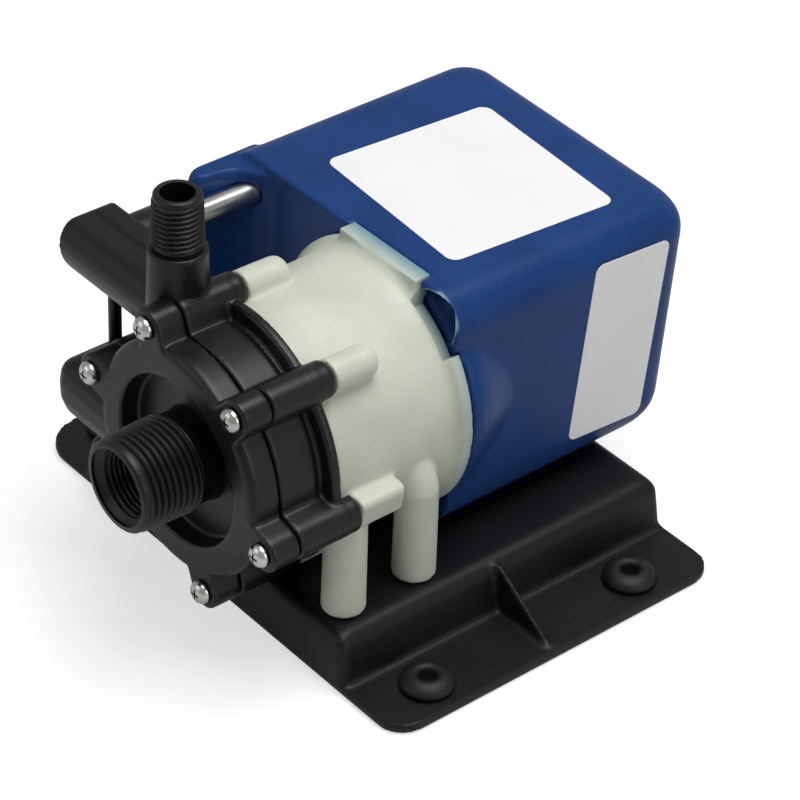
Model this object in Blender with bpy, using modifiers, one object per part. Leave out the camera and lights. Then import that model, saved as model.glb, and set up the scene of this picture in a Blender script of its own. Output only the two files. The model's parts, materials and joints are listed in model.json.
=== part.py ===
"""Magnetic-drive submersible pump on a moulded base: one object per real piece.

The row's frame stands on the floor: X across the base, -Y to the inlet, +Z up.
Most pieces are drawn in the pump axis's own frame instead.
There x is to the right seen from the inlet, y is up, and z is towards the inlet.
A "station" is a distance behind the front cover's flat face, so z = -station.
"""
import math

import bmesh
import bpy
from mathutils import Matrix, Vector

MM = 0.001
GAP = 0.3
RUN = 0.06

# Where the pump axis lies over the base, in millimetres.
AXIS_X = 11.6
FACE_Y = -65.15

# The four posts under the pump head, measured from its axis.
POST_R = 5.6
POST_X = 32.1
POST_STATIONS = (28.5, 51.4)

# Base: a moulded tray with a raised platform and two flanges.
PLATFORM_MARGIN = 9.7
PLATFORM_HALF = AXIS_X + POST_X + PLATFORM_MARGIN
WALL_DRAFT = 3.0
WALL_FOOT_HALF = PLATFORM_HALF + WALL_DRAFT
FLANGE_REACH = 20.85
BASE_WIDTH = 2 * (WALL_FOOT_HALF + FLANGE_REACH)
BASE_FRONT = -46.15
BASE_BACK = 63.45
FLANGE_THICK = 2.9
PLATFORM_Z = 17.16
NEAR_CORNER_R = 8.0
FAR_CORNER_R = 12.0
BASE_WALL = 2.7
GROMMET_OUT = 10.65
GROMMET_X = WALL_FOOT_HALF + GROMMET_OUT
GROMMET_Y = (-28.05, 40.95)
GROMMET_HOLE_R = 4.8
GROMMET_BORE_R = 2.3

# The pump head's rim sets its screw circle and the collar behind it.
COVER_R = 31.6
SCREW_STAND = 3.9
SCREW_CIRCLE_R = COVER_R + SCREW_STAND
HEAD_CLEAR = 3.74
AXIS_Z = PLATFORM_Z + SCREW_CIRCLE_R + HEAD_CLEAR
SCREW_START_DEG = 108.9
SCREW_COUNT = 6
SCREW_SHANK_R = 1.7
SCREW_HOLE_R = SCREW_SHANK_R + GAP
SCREW_HEAD_R = 3.2
SCREW_HEAD_HIGH = 2.1
SCREW_TIP = 36.0
BOSS_R = 5.0
EAR_ROOT = 3.6

# Front cover and its inlet: 3/4 inch pipe thread outside, 3/8 inch inside.
COVER_BACK = 8.2
COVER_WALL = 2.4
RECESS_R = 22.8
INLET_LIP = 17.7
INLET_CREST_R = 13.33
INLET_PITCH = 1.814
INLET_BORE_R = 8.4
EYE_R = 6.5

# Volute casing and its outlet: 1/4 inch pipe thread.
VOLUTE_FRONT = COVER_BACK + GAP
VOLUTE_BACK = 24.2
VOLUTE_STEP = 0.1
VOLUTE_R = COVER_R + VOLUTE_STEP
FLANGE_STAND = 3.9
FLANGE_R = VOLUTE_R + FLANGE_STAND
CASING_WALL = 4.3
CHAMBER_R = VOLUTE_R - CASING_WALL
OUTLET_X = -16.7
OUTLET_STATION = 13.6
OUTLET_TOP = 64.7
OUTLET_CREST_R = 6.86
OUTLET_PITCH = 1.411
OUTLET_BORE_R = 4.4
EAR_BACK = 28.0

# Seal between cover and casing.
SEAL_STEP = 1.95
SEAL_R = CHAMBER_R + SEAL_STEP
SEAL_SECTION_R = 0.85
GROOVE_HALF = SEAL_SECTION_R + GAP

# Cooling line: tube, coupling and crossover.
TUBE_X = -53.0
TUBE_Y = 26.6
TUBE_R = 2.6
COUPLING_R = 6.5
CROSS_X = -50.0
CROSS_STATION = 18.2
CROSS_R = 1.8

# Pump bracket, the pale collar with four posts.
BRACKET_FRONT = VOLUTE_BACK + GAP
COLLAR_STEP = 1.8
BRACKET_R = COVER_R + COLLAR_STEP
BRACKET_WALL = 5.9
BRACKET_BORE_R = BRACKET_R - BRACKET_WALL
RIM_STAND = 3.2
RIM_R = BRACKET_R + RIM_STAND
RIM_FRONT = 62.3
RIM_BACK = 65.5
TAB_HALF = 15.0
TAB_TOP = 36.3
TAB_FRONT = 62.5
TAB_BACK = 68.0
FOOT_Y = PLATFORM_Z - AXIS_Z + GAP

# Drive magnet and its cup, which turn in the collar's bore.
DRIVE_RUN = 1.1
DRIVE_CUP_R = BRACKET_BORE_R - DRIVE_RUN
DRIVE_CUP_WALL = 2.1
DRIVE_MAGNET_OUT_R = DRIVE_CUP_R - DRIVE_CUP_WALL - GAP
DRIVE_MAGNET_THICK = 3.4
DRIVE_MAGNET_IN_R = DRIVE_MAGNET_OUT_R - DRIVE_MAGNET_THICK

# Containment cup, impeller and inner magnet.
CUP_RUN = 1.0
CUP_R = DRIVE_MAGNET_IN_R - CUP_RUN
CUP_WALL = 1.5
CUP_END = 52.0
SPINDLE_R = 2.0
IMPELLER_RUN = 2.0
IMPELLER_R = CHAMBER_R - IMPELLER_RUN
CUP_FLANGE = 2.3
CUP_FLANGE_R = CHAMBER_R + CUP_FLANGE
VANE_COUNT = 6
INNER_MAGNET_RUN = 1.1
INNER_MAGNET_R = CUP_R - CUP_WALL - INNER_MAGNET_RUN

# Motor.
SHAFT_R = 4.0
ROTOR_R = 14.4
STATOR_R = 20.4
STACK_FRONT = 84.0
STACK_BACK = 114.0

# Motor housing.
HOUSING_FRONT = 65.8
HOUSING_TOP = 36.0
HOUSING_LEFT = -63.5
HOUSING_BACK = 148.5
# The right side leans outwards going up and draws in towards the back.
SIDE_FOOT_X = 27.6
SIDE_LEAN = 0.030
SIDE_TAPER = 0.018
# The back leans outwards going up, and draws in towards the right.
BACK_LEAN = 0.047
BACK_TURN = 0.016
TOP_EDGE_R = 8.0
BACK_CORNER_R = 10.0
LOW_EDGE_R = 11.0
SIDE_LABEL_INSET = 26.5

LOOKS = {
    "black_plastic": ((0.022, 0.022, 0.024), 0.42, 0.0),
    "base_plastic": ((0.017, 0.017, 0.019), 0.48, 0.0),
    "pale_plastic": ((0.60, 0.63, 0.52), 0.45, 0.0),
    "blue_epoxy": ((0.012, 0.045, 0.17), 0.36, 0.0),
    "rubber": ((0.013, 0.013, 0.014), 0.65, 0.0),
    "stainless": ((0.62, 0.61, 0.59), 0.26, 1.0),
    "label_film": ((0.82, 0.83, 0.84), 0.40, 0.0),
    "magnet": ((0.10, 0.10, 0.11), 0.45, 0.6),
    "ceramic": ((0.78, 0.76, 0.70), 0.30, 0.0),
    "lamination": ((0.20, 0.21, 0.23), 0.45, 0.9),
    "copper": ((0.55, 0.25, 0.11), 0.35, 0.9),
    "bronze": ((0.50, 0.34, 0.15), 0.38, 0.9),
}


def clear_scene():
    for thing in list(bpy.data.objects):
        bpy.data.objects.remove(thing, do_unlink=True)


def new_collection(name):
    group = bpy.data.collections.new(name)
    bpy.context.scene.collection.children.link(group)
    return group


def make_material(name):
    colour, roughness, metallic = LOOKS[name]
    material = bpy.data.materials.new(name)
    material.use_nodes = True
    shader = material.node_tree.nodes["Principled BSDF"]
    shader.inputs["Base Color"].default_value = (*colour, 1.0)
    shader.inputs["Roughness"].default_value = roughness
    shader.inputs["Metallic"].default_value = metallic
    material.diffuse_color = (*colour, 1.0)
    return material


clear_scene()
PARTS = new_collection("submersible_pump")
CUTTERS = new_collection("cutters")
MATERIALS = {look: make_material(look) for look in LOOKS}


def axis_empty(name):
    """An empty on the pump axis, its z turned towards the inlet."""
    empty = bpy.data.objects.new(name, None)
    empty.location = (AXIS_X * MM, FACE_Y * MM, AXIS_Z * MM)
    empty.rotation_euler = (math.radians(90.0), 0.0, 0.0)
    PARTS.objects.link(empty)
    return empty


HEAD = axis_empty("head_frame")
MOTOR_AXIS = axis_empty("motor_rotor_frame")
IMPELLER_AXIS = axis_empty("impeller_frame")


def mm(x, y, z):
    return Vector((x * MM, y * MM, z * MM))


def place(name, mesh, parent, look=None, location=(0, 0, 0), turn=(0, 0, 0)):
    """Make an object of a mesh; without a look it is a cutter."""
    thing = bpy.data.objects.new(name, mesh)
    thing.parent = parent
    thing.location = mm(*location)
    thing.rotation_euler = [math.radians(angle) for angle in turn]
    if look:
        mesh.materials.append(MATERIALS[look])
        PARTS.objects.link(thing)
    else:
        CUTTERS.objects.link(thing)
        thing.hide_render = True
        thing.display_type = "WIRE"
    return thing


def mesh_of(name, shape):
    """Close a bmesh into mesh data with its faces turned outwards."""
    bmesh.ops.recalc_face_normals(shape, faces=shape.faces)
    mesh = bpy.data.meshes.new(name)
    shape.to_mesh(mesh)
    shape.free()
    return mesh


def prism(shape, outline, low, high):
    """Extrude an (x, y) outline along z between two heights."""
    bottom = [shape.verts.new(mm(x, y, low)) for x, y in outline]
    top = [shape.verts.new(mm(x, y, high)) for x, y in outline]
    count = len(outline)
    shape.faces.new(list(reversed(bottom)))
    shape.faces.new(top)
    for i in range(count):
        j = (i + 1) % count
        shape.faces.new((bottom[i], bottom[j], top[j], top[i]))


def prism_across(shape, outline, left, right):
    """Extrude a (station, y) outline along x."""
    near = [shape.verts.new(mm(left, y, -station)) for station, y in outline]
    far = [shape.verts.new(mm(right, y, -station)) for station, y in outline]
    count = len(outline)
    shape.faces.new(list(reversed(near)))
    shape.faces.new(far)
    for i in range(count):
        j = (i + 1) % count
        shape.faces.new((near[i], near[j], far[j], far[i]))


def box(shape, low, high):
    x0, y0, z0 = low
    x1, y1, z1 = high
    prism(shape, [(x0, y0), (x1, y0), (x1, y1), (x0, y1)], z0, z1)


def bar(shape, start, end, radius, end_radius=None, sides=32):
    """A round bar or cone between two points."""
    start, end = mm(*start), mm(*end)
    along = end - start
    turn = along.to_track_quat("Z", "Y").to_matrix().to_4x4()
    middle = Matrix.Translation((start + end) / 2)
    bmesh.ops.create_cone(
        shape, cap_ends=True, segments=sides, depth=along.length,
        radius1=radius * MM, radius2=(end_radius or radius) * MM,
        matrix=middle @ turn)


def turned(name, profile, parent, look=None, closed=False, steps=36,
           location=(0, 0, 0), turn=(0, 0, 0)):
    """Turn a (radius, z) profile about z with a Screw modifier."""
    points = [mm(radius, 0, z) for radius, z in profile]
    edges = [(i, i + 1) for i in range(len(points) - 1)]
    if closed:
        edges.append((len(points) - 1, 0))
    mesh = bpy.data.meshes.new(name)
    mesh.from_pydata(points, edges, [])
    thing = place(name, mesh, parent, look, location, turn)
    screw = thing.modifiers.new("turn", "SCREW")
    screw.axis = "Z"
    screw.angle = math.tau
    screw.steps = steps
    screw.render_steps = steps
    screw.use_merge_vertices = True
    screw.merge_threshold = 0.00001
    return thing


def boolean(target, cutter, operation):
    step = target.modifiers.new(cutter.name, "BOOLEAN")
    step.operation = operation
    step.solver = "EXACT"
    step.object = cutter


def cut(target, name, shape, parent=HEAD):
    boolean(target, place(name, mesh_of(name, shape), parent), "DIFFERENCE")


def fuse(target, name, shape, parent=HEAD):
    piece = place(name, mesh_of(name, shape), parent)
    boolean(target, piece, "UNION")
    return piece


def on_circle(radius, degrees):
    angle = math.radians(degrees)
    return radius * math.cos(angle), radius * math.sin(angle)


def screw_angles():
    return [SCREW_START_DEG - 360.0 / SCREW_COUNT * i for i in range(SCREW_COUNT)]


def ear_outline(degrees, boss_r, root_r, root_half_deg, arc_steps=9):
    """An ear's outline: a half circle outside, two roots inside the wall."""
    cx, cy = on_circle(SCREW_CIRCLE_R, degrees)
    points = [on_circle(root_r, degrees - root_half_deg)]
    for i in range(arc_steps):
        ax, ay = on_circle(boss_r, degrees - 90.0 + 180.0 * i / (arc_steps - 1))
        points.append((cx + ax, cy + ay))
    points.append(on_circle(root_r, degrees + root_half_deg))
    return points


def thread_profile(crest_r, depth, pitch, top, bottom):
    """Ridges of a tapered pipe thread, from its top down."""
    points = []
    count = int((top - bottom) / pitch)
    for i in range(count):
        crest_z = top - (i + 0.5) * pitch
        crest = crest_r - (crest_z - bottom) / 32.0
        points.append((crest - depth, top - i * pitch))
        points.append((crest, crest_z))
    points.append((crest_r - depth, top - count * pitch))
    return points


def round_corners(corners, radii, steps=4):
    """Round the corners of a convex outline listed anticlockwise."""
    points = []
    count = len(corners)
    for i in range(count):
        radius = radii[i]
        here = Vector(corners[i])
        before = (Vector(corners[i - 1]) - here).normalized()
        after = (Vector(corners[(i + 1) % count]) - here).normalized()
        half = before.angle(after) / 2
        reach = radius / math.tan(half)
        centre = here + (before + after).normalized() * (radius / math.sin(half))
        first = here + before * reach - centre
        start = math.atan2(first.y, first.x)
        for k in range(steps + 1):
            angle = start + (math.pi - 2 * half) * k / steps
            points.append((centre.x + radius * math.cos(angle),
                           centre.y + radius * math.sin(angle)))
    return points


# Base plate: flange plate and raised platform, hollow from below.
def base_plate():
    shape = bmesh.new()
    half = BASE_WIDTH / 2
    plate = [(half, BASE_FRONT), (half, BASE_BACK), (-half, BASE_BACK), (-half, BASE_FRONT)]
    radii = (NEAR_CORNER_R, NEAR_CORNER_R, FAR_CORNER_R, FAR_CORNER_R)
    prism(shape, round_corners(plate, radii), 0.0, FLANGE_THICK)
    base = place("base_plate", mesh_of("base_plate", shape), None, "base_plastic")
    shape = bmesh.new()
    box(shape, (-WALL_FOOT_HALF, BASE_FRONT + 0.02, 0.4),
        (WALL_FOOT_HALF, BASE_BACK - 0.02, PLATFORM_Z))
    for corner in shape.verts:
        if corner.co.z > 10 * MM:
            corner.co.x *= PLATFORM_HALF / WALL_FOOT_HALF
    rim = [edge for edge in shape.edges
           if all(v.co.z > 10 * MM for v in edge.verts)]
    bmesh.ops.bevel(shape, geom=rim, offset=3.5 * MM, segments=4, profile=0.5,
                    affect="EDGES")
    fuse(base, "platform", shape, None)
    shape = bmesh.new()
    outline = [(WALL_FOOT_HALF - 6, 1.0), (half - 4.0, 1.0), (WALL_FOOT_HALF - 6, 16.0)]
    for side in (1, -1):
        near = [shape.verts.new(mm(side * x, 5.4, z)) for x, z in outline]
        far = [shape.verts.new(mm(side * x, 6.9, z)) for x, z in outline]
        shape.faces.new(near)
        shape.faces.new(list(reversed(far)))
        for i in range(3):
            j = (i + 1) % 3
            shape.faces.new((near[j], near[i], far[i], far[j]))
    fuse(base, "gussets", shape, None)
    shape = bmesh.new()
    box(shape, (-WALL_FOOT_HALF + BASE_WALL, BASE_FRONT + BASE_WALL, -2.0),
        (WALL_FOOT_HALF - BASE_WALL, BASE_BACK - BASE_WALL, PLATFORM_Z - BASE_WALL))
    for corner in shape.verts:
        if corner.co.z > 10 * MM:
            corner.co.x *= (PLATFORM_HALF - BASE_WALL) / (WALL_FOOT_HALF - BASE_WALL)
    cut(base, "base_hollow", shape, None)
    shape = bmesh.new()
    for x in (GROMMET_X, -GROMMET_X):
        for y in GROMMET_Y:
            bar(shape, (x, y, -3), (x, y, 6), GROMMET_HOLE_R, sides=32)
    for x, y in post_places():
        bar(shape, (x, y, 10), (x, y, 22), 2.2, sides=24)
    cut(base, "base_holes", shape, None)
    return base


def post_places():
    """Centres of the four posts in the row's frame."""
    return [(AXIS_X + side * POST_X, FACE_Y + station)
            for side in (1, -1) for station in POST_STATIONS]


def base_grommets():
    number = 0
    for x in (GROMMET_X, -GROMMET_X):
        for y in GROMMET_Y:
            number += 1
            top = FLANGE_THICK + GAP
            profile = [
                (2.6, top + 2.3), (3.6, top + 2.5), (4.6, top + 2.4), (5.8, top + 1.8),
                (6.6, top + 0.9), (6.9, top), (GROMMET_HOLE_R - GAP, top),
                (GROMMET_HOLE_R - GAP, 0.2), (GROMMET_BORE_R, 0.2),
                (GROMMET_BORE_R, top + 1.9)]
            turned(f"base_grommet_{number}", profile, None, "rubber", closed=True,
                   steps=20, location=(x, y, 0))


def base_screws():
    """Pan head screws, up through the platform into the posts."""
    for number, (x, y) in enumerate(post_places(), 1):
        seat = PLATFORM_Z - BASE_WALL - GAP
        profile = [
            (0, seat + 13.0), (1.9, seat + 12.0), (1.9, seat), (3.6, seat),
            (3.6, seat - 0.9), (3.0, seat - 1.8), (1.6, seat - 2.3), (0, seat - 2.4)]
        turned(f"base_screw_{number}", profile, None, "stainless", steps=12,
               location=(x, y, 0))


# Front cover with the inlet nozzle.
def front_cover():
    floor = -(COVER_BACK - COVER_WALL)
    profile = [(9.0, INLET_LIP), (11.9, INLET_LIP), (12.3, INLET_LIP - 0.4)]
    profile += thread_profile(INLET_CREST_R, 1.05, INLET_PITCH, INLET_LIP - 0.7, 0.9)
    profile += [
        (12.5, floor), (RECESS_R - 0.4, floor), (RECESS_R, floor + 0.4),
        (RECESS_R, -0.4), (RECESS_R + 0.4, 0), (COVER_R - 2.0, 0),
        (COVER_R - 0.6, -0.6), (COVER_R, -2.0), (COVER_R, -COVER_BACK),
        (EYE_R, -COVER_BACK), (EYE_R, 1.0), (INLET_BORE_R, 3.0),
        (INLET_BORE_R, INLET_LIP - 0.6)]
    cover = turned("front_cover", profile, HEAD, "black_plastic", closed=True)
    shape = bmesh.new()
    for degrees in screw_angles():
        prism(shape, ear_outline(degrees, BOSS_R, COVER_R - EAR_ROOT, 13.0), -COVER_BACK, 0.25)
    fuse(cover, "cover_ears", shape)
    # The low chamber at the left takes the crossover tube.
    shape = bmesh.new()
    low_lobe = [
        (4.0, 0.9), (2.2, 0.3), (0.8, -1.6), (0.15, -5.4), (0.3, -10.2), (1.8, -14.3),
        (5.7, -18.1), (11.0, -20.5), (17.0, -19.5), (22.0, -15.0), (24.0, -8.0),
        (23.5, -1.0), (21.5, 0.9)]
    prism_across(shape, low_lobe, -50.5, -36.9)
    fuse(cover, "low_lobe", shape)
    shape = bmesh.new()
    front_part = [
        (4.0, 0.9), (2.2, 0.3), (0.8, -1.6), (0.15, -5.4), (0.3, -10.2), (1.8, -14.3),
        (5.7, -18.1), (COVER_BACK, -19.3), (COVER_BACK, 0.9)]
    prism_across(shape, front_part, -38.0, -25.5)
    fuse(cover, "low_lobe_root", shape)
    shape = bmesh.new()
    for degrees in screw_angles():
        x, y = on_circle(SCREW_CIRCLE_R, degrees)
        bar(shape, (x, y, 3), (x, y, -COVER_BACK - 2), SCREW_HOLE_R, sides=20)
    bar(shape, (CROSS_X, 4, -CROSS_STATION), (CROSS_X, -4.3, -CROSS_STATION),
        CROSS_R + GAP, sides=20)
    cut(cover, "cover_holes", shape)
    return cover


def volute_casing():
    profile = [
        (0, -VOLUTE_FRONT), (VOLUTE_R, -VOLUTE_FRONT), (VOLUTE_R, -19.4), (VOLUTE_R - 0.8, -20.0),
        (VOLUTE_R - 0.8, -21.0), (FLANGE_R - 0.7, -21.3), (FLANGE_R, -22.0), (FLANGE_R, -VOLUTE_BACK),
        (0, -VOLUTE_BACK)]
    casing = turned("volute_casing", profile, HEAD, "black_plastic")
    shape = bmesh.new()
    for degrees in screw_angles():
        outline = ear_outline(degrees, BOSS_R + 0.15, VOLUTE_R - EAR_ROOT + 0.5, 12.0)
        prism(shape, outline, -EAR_BACK, -VOLUTE_FRONT)
    fuse(casing, "volute_ears", shape)
    # The high chamber at the left feeds the cooling tube.
    high_lobe = [
        (26.5, 33.9), (14.0, 33.9), (12.6, 33.5), (11.2, 32.4), (9.9, 30.6), (9.3, 28.6),
        (9.2, 26.5), (10.1, 22.8), (11.6, 20.0), (14.2, 17.3), (17.2, 16.0),
        (20.5, 16.2), (23.5, 18.4), (25.6, 21.6), (26.5, 25.0)]
    shape = bmesh.new()
    prism_across(shape, high_lobe, -62.0, -37.4)
    fuse(casing, "high_lobe", shape)
    inner_lobe = [(min(station, 24.0), y) for station, y in high_lobe]
    inner_lobe = [point for i, point in enumerate(inner_lobe) if i != 13]
    shape = bmesh.new()
    prism_across(shape, inner_lobe, -38.3, -15.6)
    fuse(casing, "high_lobe_root", shape)
    neck = [(0, OUTLET_TOP), (5.6, OUTLET_TOP), (6.1, OUTLET_TOP - 0.5)]
    neck += thread_profile(OUTLET_CREST_R, 0.8, OUTLET_PITCH, OUTLET_TOP - 0.8, 49.9)
    neck += [(7.6, 49.2), (8.4, 22.0), (0, 20.0)]
    outlet = turned("outlet_nozzle", neck, HEAD, steps=28,
                    location=(OUTLET_X, 0, -OUTLET_STATION), turn=(-90, 0, 0))
    boolean(casing, outlet, "UNION")
    # The cover and its top ear stand in front of the neck's foot.
    shape = bmesh.new()
    box(shape, (-34.0, 12.0, -VOLUTE_FRONT), (2.0, 39.4, 1.0))
    cut(casing, "cover_room", shape)
    cavity = turned("volute_cavity", [
        (0, -7.0), (CHAMBER_R, -7.0), (CHAMBER_R, -22.1), (CUP_FLANGE_R + 0.4, -22.1),
        (CUP_FLANGE_R + 0.4, -30.0), (0, -30.0)], HEAD)
    boolean(casing, cavity, "DIFFERENCE")
    groove = turned("seal_groove", [
        (SEAL_R + GROOVE_HALF, -7.5), (SEAL_R + GROOVE_HALF, -10.5),
        (SEAL_R - GROOVE_HALF, -10.5), (SEAL_R - GROOVE_HALF, -7.5)], HEAD, closed=True)
    boolean(casing, groove, "DIFFERENCE")
    pilot = turned("bracket_pilot", [
        (0, -VOLUTE_BACK), (BRACKET_R + GAP, -VOLUTE_BACK), (BRACKET_R + GAP, -33.0),
        (0, -33.0)], HEAD)
    boolean(casing, pilot, "DIFFERENCE")
    shape = bmesh.new()
    bar(shape, (OUTLET_X, 14, -OUTLET_STATION), (OUTLET_X, 70, -OUTLET_STATION),
        OUTLET_BORE_R, sides=32)
    cut(casing, "outlet_bore", shape)
    shape = bmesh.new()
    bar(shape, (TUBE_X - 4, TUBE_Y, -OUTLET_STATION - 2.6),
        (OUTLET_X, TUBE_Y, -OUTLET_STATION - 2.6), 2.4, sides=20)
    cut(casing, "lobe_passage", shape)
    shape = bmesh.new()
    for degrees in screw_angles():
        x, y = on_circle(SCREW_CIRCLE_R, degrees)
        bar(shape, (x, y, -5), (x, y, -EAR_BACK - 2), SCREW_HOLE_R, sides=20)
    bar(shape, (TUBE_X, TUBE_Y, -19.5), (TUBE_X, TUBE_Y, -30.0), 4.0 + GAP, sides=24)
    bar(shape, (CROSS_X, 12, -CROSS_STATION), (CROSS_X, 20.2, -CROSS_STATION),
        CROSS_R + GAP, sides=20)
    cut(casing, "volute_holes", shape)
    return casing


def cover_screws():
    """Six pan head screws with a cross recess."""
    for number, degrees in enumerate(screw_angles(), 1):
        x, y = on_circle(SCREW_CIRCLE_R, degrees)
        seat = 0.25 + GAP
        profile = [
            (0, seat + SCREW_HEAD_HIGH), (1.4, seat + SCREW_HEAD_HIGH - 0.12),
            (2.5, seat + SCREW_HEAD_HIGH - 0.65), (SCREW_HEAD_R, seat + 0.8),
            (SCREW_HEAD_R, seat), (SCREW_SHANK_R, seat), (SCREW_SHANK_R, -SCREW_TIP + 1.5),
            (0, -SCREW_TIP)]
        screw = turned(f"cover_screw_{number}", profile, HEAD, "stainless", steps=14,
                       location=(x, y, 0))
        top = seat + SCREW_HEAD_HIGH
        for tag, wide, high in (("a", 1.65, 0.42), ("b", 0.42, 1.65)):
            shape = bmesh.new()
            box(shape, (x - wide, y - high, top - 1.1), (x + wide, y + high, top + 1))
            cut(screw, f"cross_{number}{tag}", shape)


def casing_seal():
    ring = []
    for i in range(6):
        a = math.tau * i / 6
        ring.append((SEAL_R + SEAL_SECTION_R * math.cos(a),
                     -9.45 - SEAL_SECTION_R * math.sin(a)))
    turned("casing_o_ring", ring, HEAD, "rubber", closed=True)


def cooling_line():
    coupling = [
        (TUBE_R + GAP, -20.2), (4.0, -20.2), (4.0, -26.8), (COUPLING_R - 0.5, -26.8),
        (COUPLING_R, -27.3), (COUPLING_R, -36.0), (COUPLING_R - 0.6, -36.8),
        (TUBE_R + GAP, -36.8)]
    turned("tube_coupling", coupling, HEAD, "black_plastic", closed=True, steps=24,
           location=(TUBE_X, TUBE_Y, 0))
    tube = [
        (TUBE_R, -21.0), (TUBE_R, -90.0), (TUBE_R - 0.5, -90.0), (TUBE_R - 0.5, -21.0)]
    turned("cooling_tube", tube, HEAD, "stainless", closed=True, steps=24,
           location=(TUBE_X, TUBE_Y, 0))
    cross = [(CROSS_R, 19.9), (CROSS_R, -4.0), (CROSS_R - 0.8, -4.0), (CROSS_R - 0.8, 19.9)]
    turned("crossover_tube", cross, HEAD, "black_plastic", closed=True, steps=20,
           location=(CROSS_X, 0, -CROSS_STATION), turn=(-90, 0, 0))


# Pump bracket: collar, rim, screw bosses, tab and four posts.
def pump_bracket():
    profile = [
        (0, -BRACKET_FRONT), (BRACKET_R - 0.5, -BRACKET_FRONT), (BRACKET_R, -25.0),
        (BRACKET_R + 0.7, -60.0), (BRACKET_R + 1.0, -61.6), (RIM_R - 0.5, -RIM_FRONT),
        (RIM_R, -RIM_FRONT - 0.5), (RIM_R, -RIM_BACK), (0, -RIM_BACK)]
    bracket = turned("pump_bracket", profile, HEAD, "pale_plastic", steps=44)
    shape = bmesh.new()
    for degrees in screw_angles():
        x, y = on_circle(SCREW_CIRCLE_R, degrees)
        square = abs(degrees + 11.1) < 1.0
        reach = 42.5 if square else 42.0
        bar(shape, (x, y, -EAR_BACK - GAP), (x, y, -reach), 4.6, 4.0, sides=24)
    fuse(bracket, "bracket_bosses", shape)
    shape = bmesh.new()
    for side in (1, -1):
        for station in POST_STATIONS:
            bar(shape, (side * POST_X, FOOT_Y, -station),
                (side * POST_X, -12.0, -station), POST_R + 0.3, POST_R, sides=32)
    posts = fuse(bracket, "bracket_posts", shape)
    shape = bmesh.new()
    for side in (1, -1):
        for station in POST_STATIONS:
            bar(shape, (side * POST_X, -12.4, -station),
                (side * (POST_X - 3.6), -3.0, -station), POST_R, 3.4, sides=32)
    heads = fuse(bracket, "post_heads", shape)
    shape = bmesh.new()
    box(shape, (-TAB_HALF, 30.0, -TAB_BACK), (TAB_HALF, TAB_TOP, -TAB_FRONT))
    fuse(bracket, "top_tab", shape)
    bore = turned("bracket_bore", [
        (0, -20.0), (BRACKET_BORE_R, -20.0), (BRACKET_BORE_R, -60.0), (5.2, -60.0),
        (5.2, -61.5), (9.0 + GAP, -61.5), (9.0 + GAP, -70.0), (0, -70.0)], HEAD)
    boolean(bracket, bore, "DIFFERENCE")
    # The front posts are cut round the casing's flange and ears.
    flange_room = turned("flange_room", [
        (0, -15.0), (FLANGE_R + GAP, -15.0), (FLANGE_R + GAP, -BRACKET_FRONT),
        (0, -BRACKET_FRONT)], HEAD)
    boolean(bracket, flange_room, "DIFFERENCE")
    shape = bmesh.new()
    for degrees in screw_angles():
        outline = ear_outline(degrees, BOSS_R + 0.15 + GAP, VOLUTE_R - EAR_ROOT + 0.3, 13.2)
        prism(shape, outline, -EAR_BACK - GAP, -14.0)
    ear_room = place("ear_room", mesh_of("ear_room", shape), HEAD)
    for post in (posts, heads):
        boolean(post, ear_room, "DIFFERENCE")
    shape = bmesh.new()
    for degrees in screw_angles():
        x, y = on_circle(SCREW_CIRCLE_R, degrees)
        bar(shape, (x, y, -20), (x, y, -38.0), SCREW_HOLE_R, sides=20)
    cut(bracket, "bracket_screw_holes", shape)
    shape = bmesh.new()
    for side in (1, -1):
        for station in POST_STATIONS:
            bar(shape, (side * POST_X, FOOT_Y - 3, -station),
                (side * POST_X, FOOT_Y + 14, -station), 2.2, sides=20)
    cut(bracket, "post_holes", shape)
    return bracket


def side_x(y, station):
    """Where the housing's right side stands at a height and a station."""
    lean = SIDE_LEAN * (y - FOOT_Y)
    return SIDE_FOOT_X + lean - SIDE_TAPER * (station - HOUSING_FRONT)


def back_station(x, y):
    """Where the housing's back stands at a place across and a height."""
    return HOUSING_BACK - BACK_TURN * (x - HOUSING_LEFT) - BACK_LEAN * (HOUSING_TOP - y)


def back_corner(y):
    """Where the right side meets the back at a height."""
    station = HOUSING_BACK
    for _ in range(4):
        x = side_x(y, station)
        station = back_station(x, y)
    return x, y, -station


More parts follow.
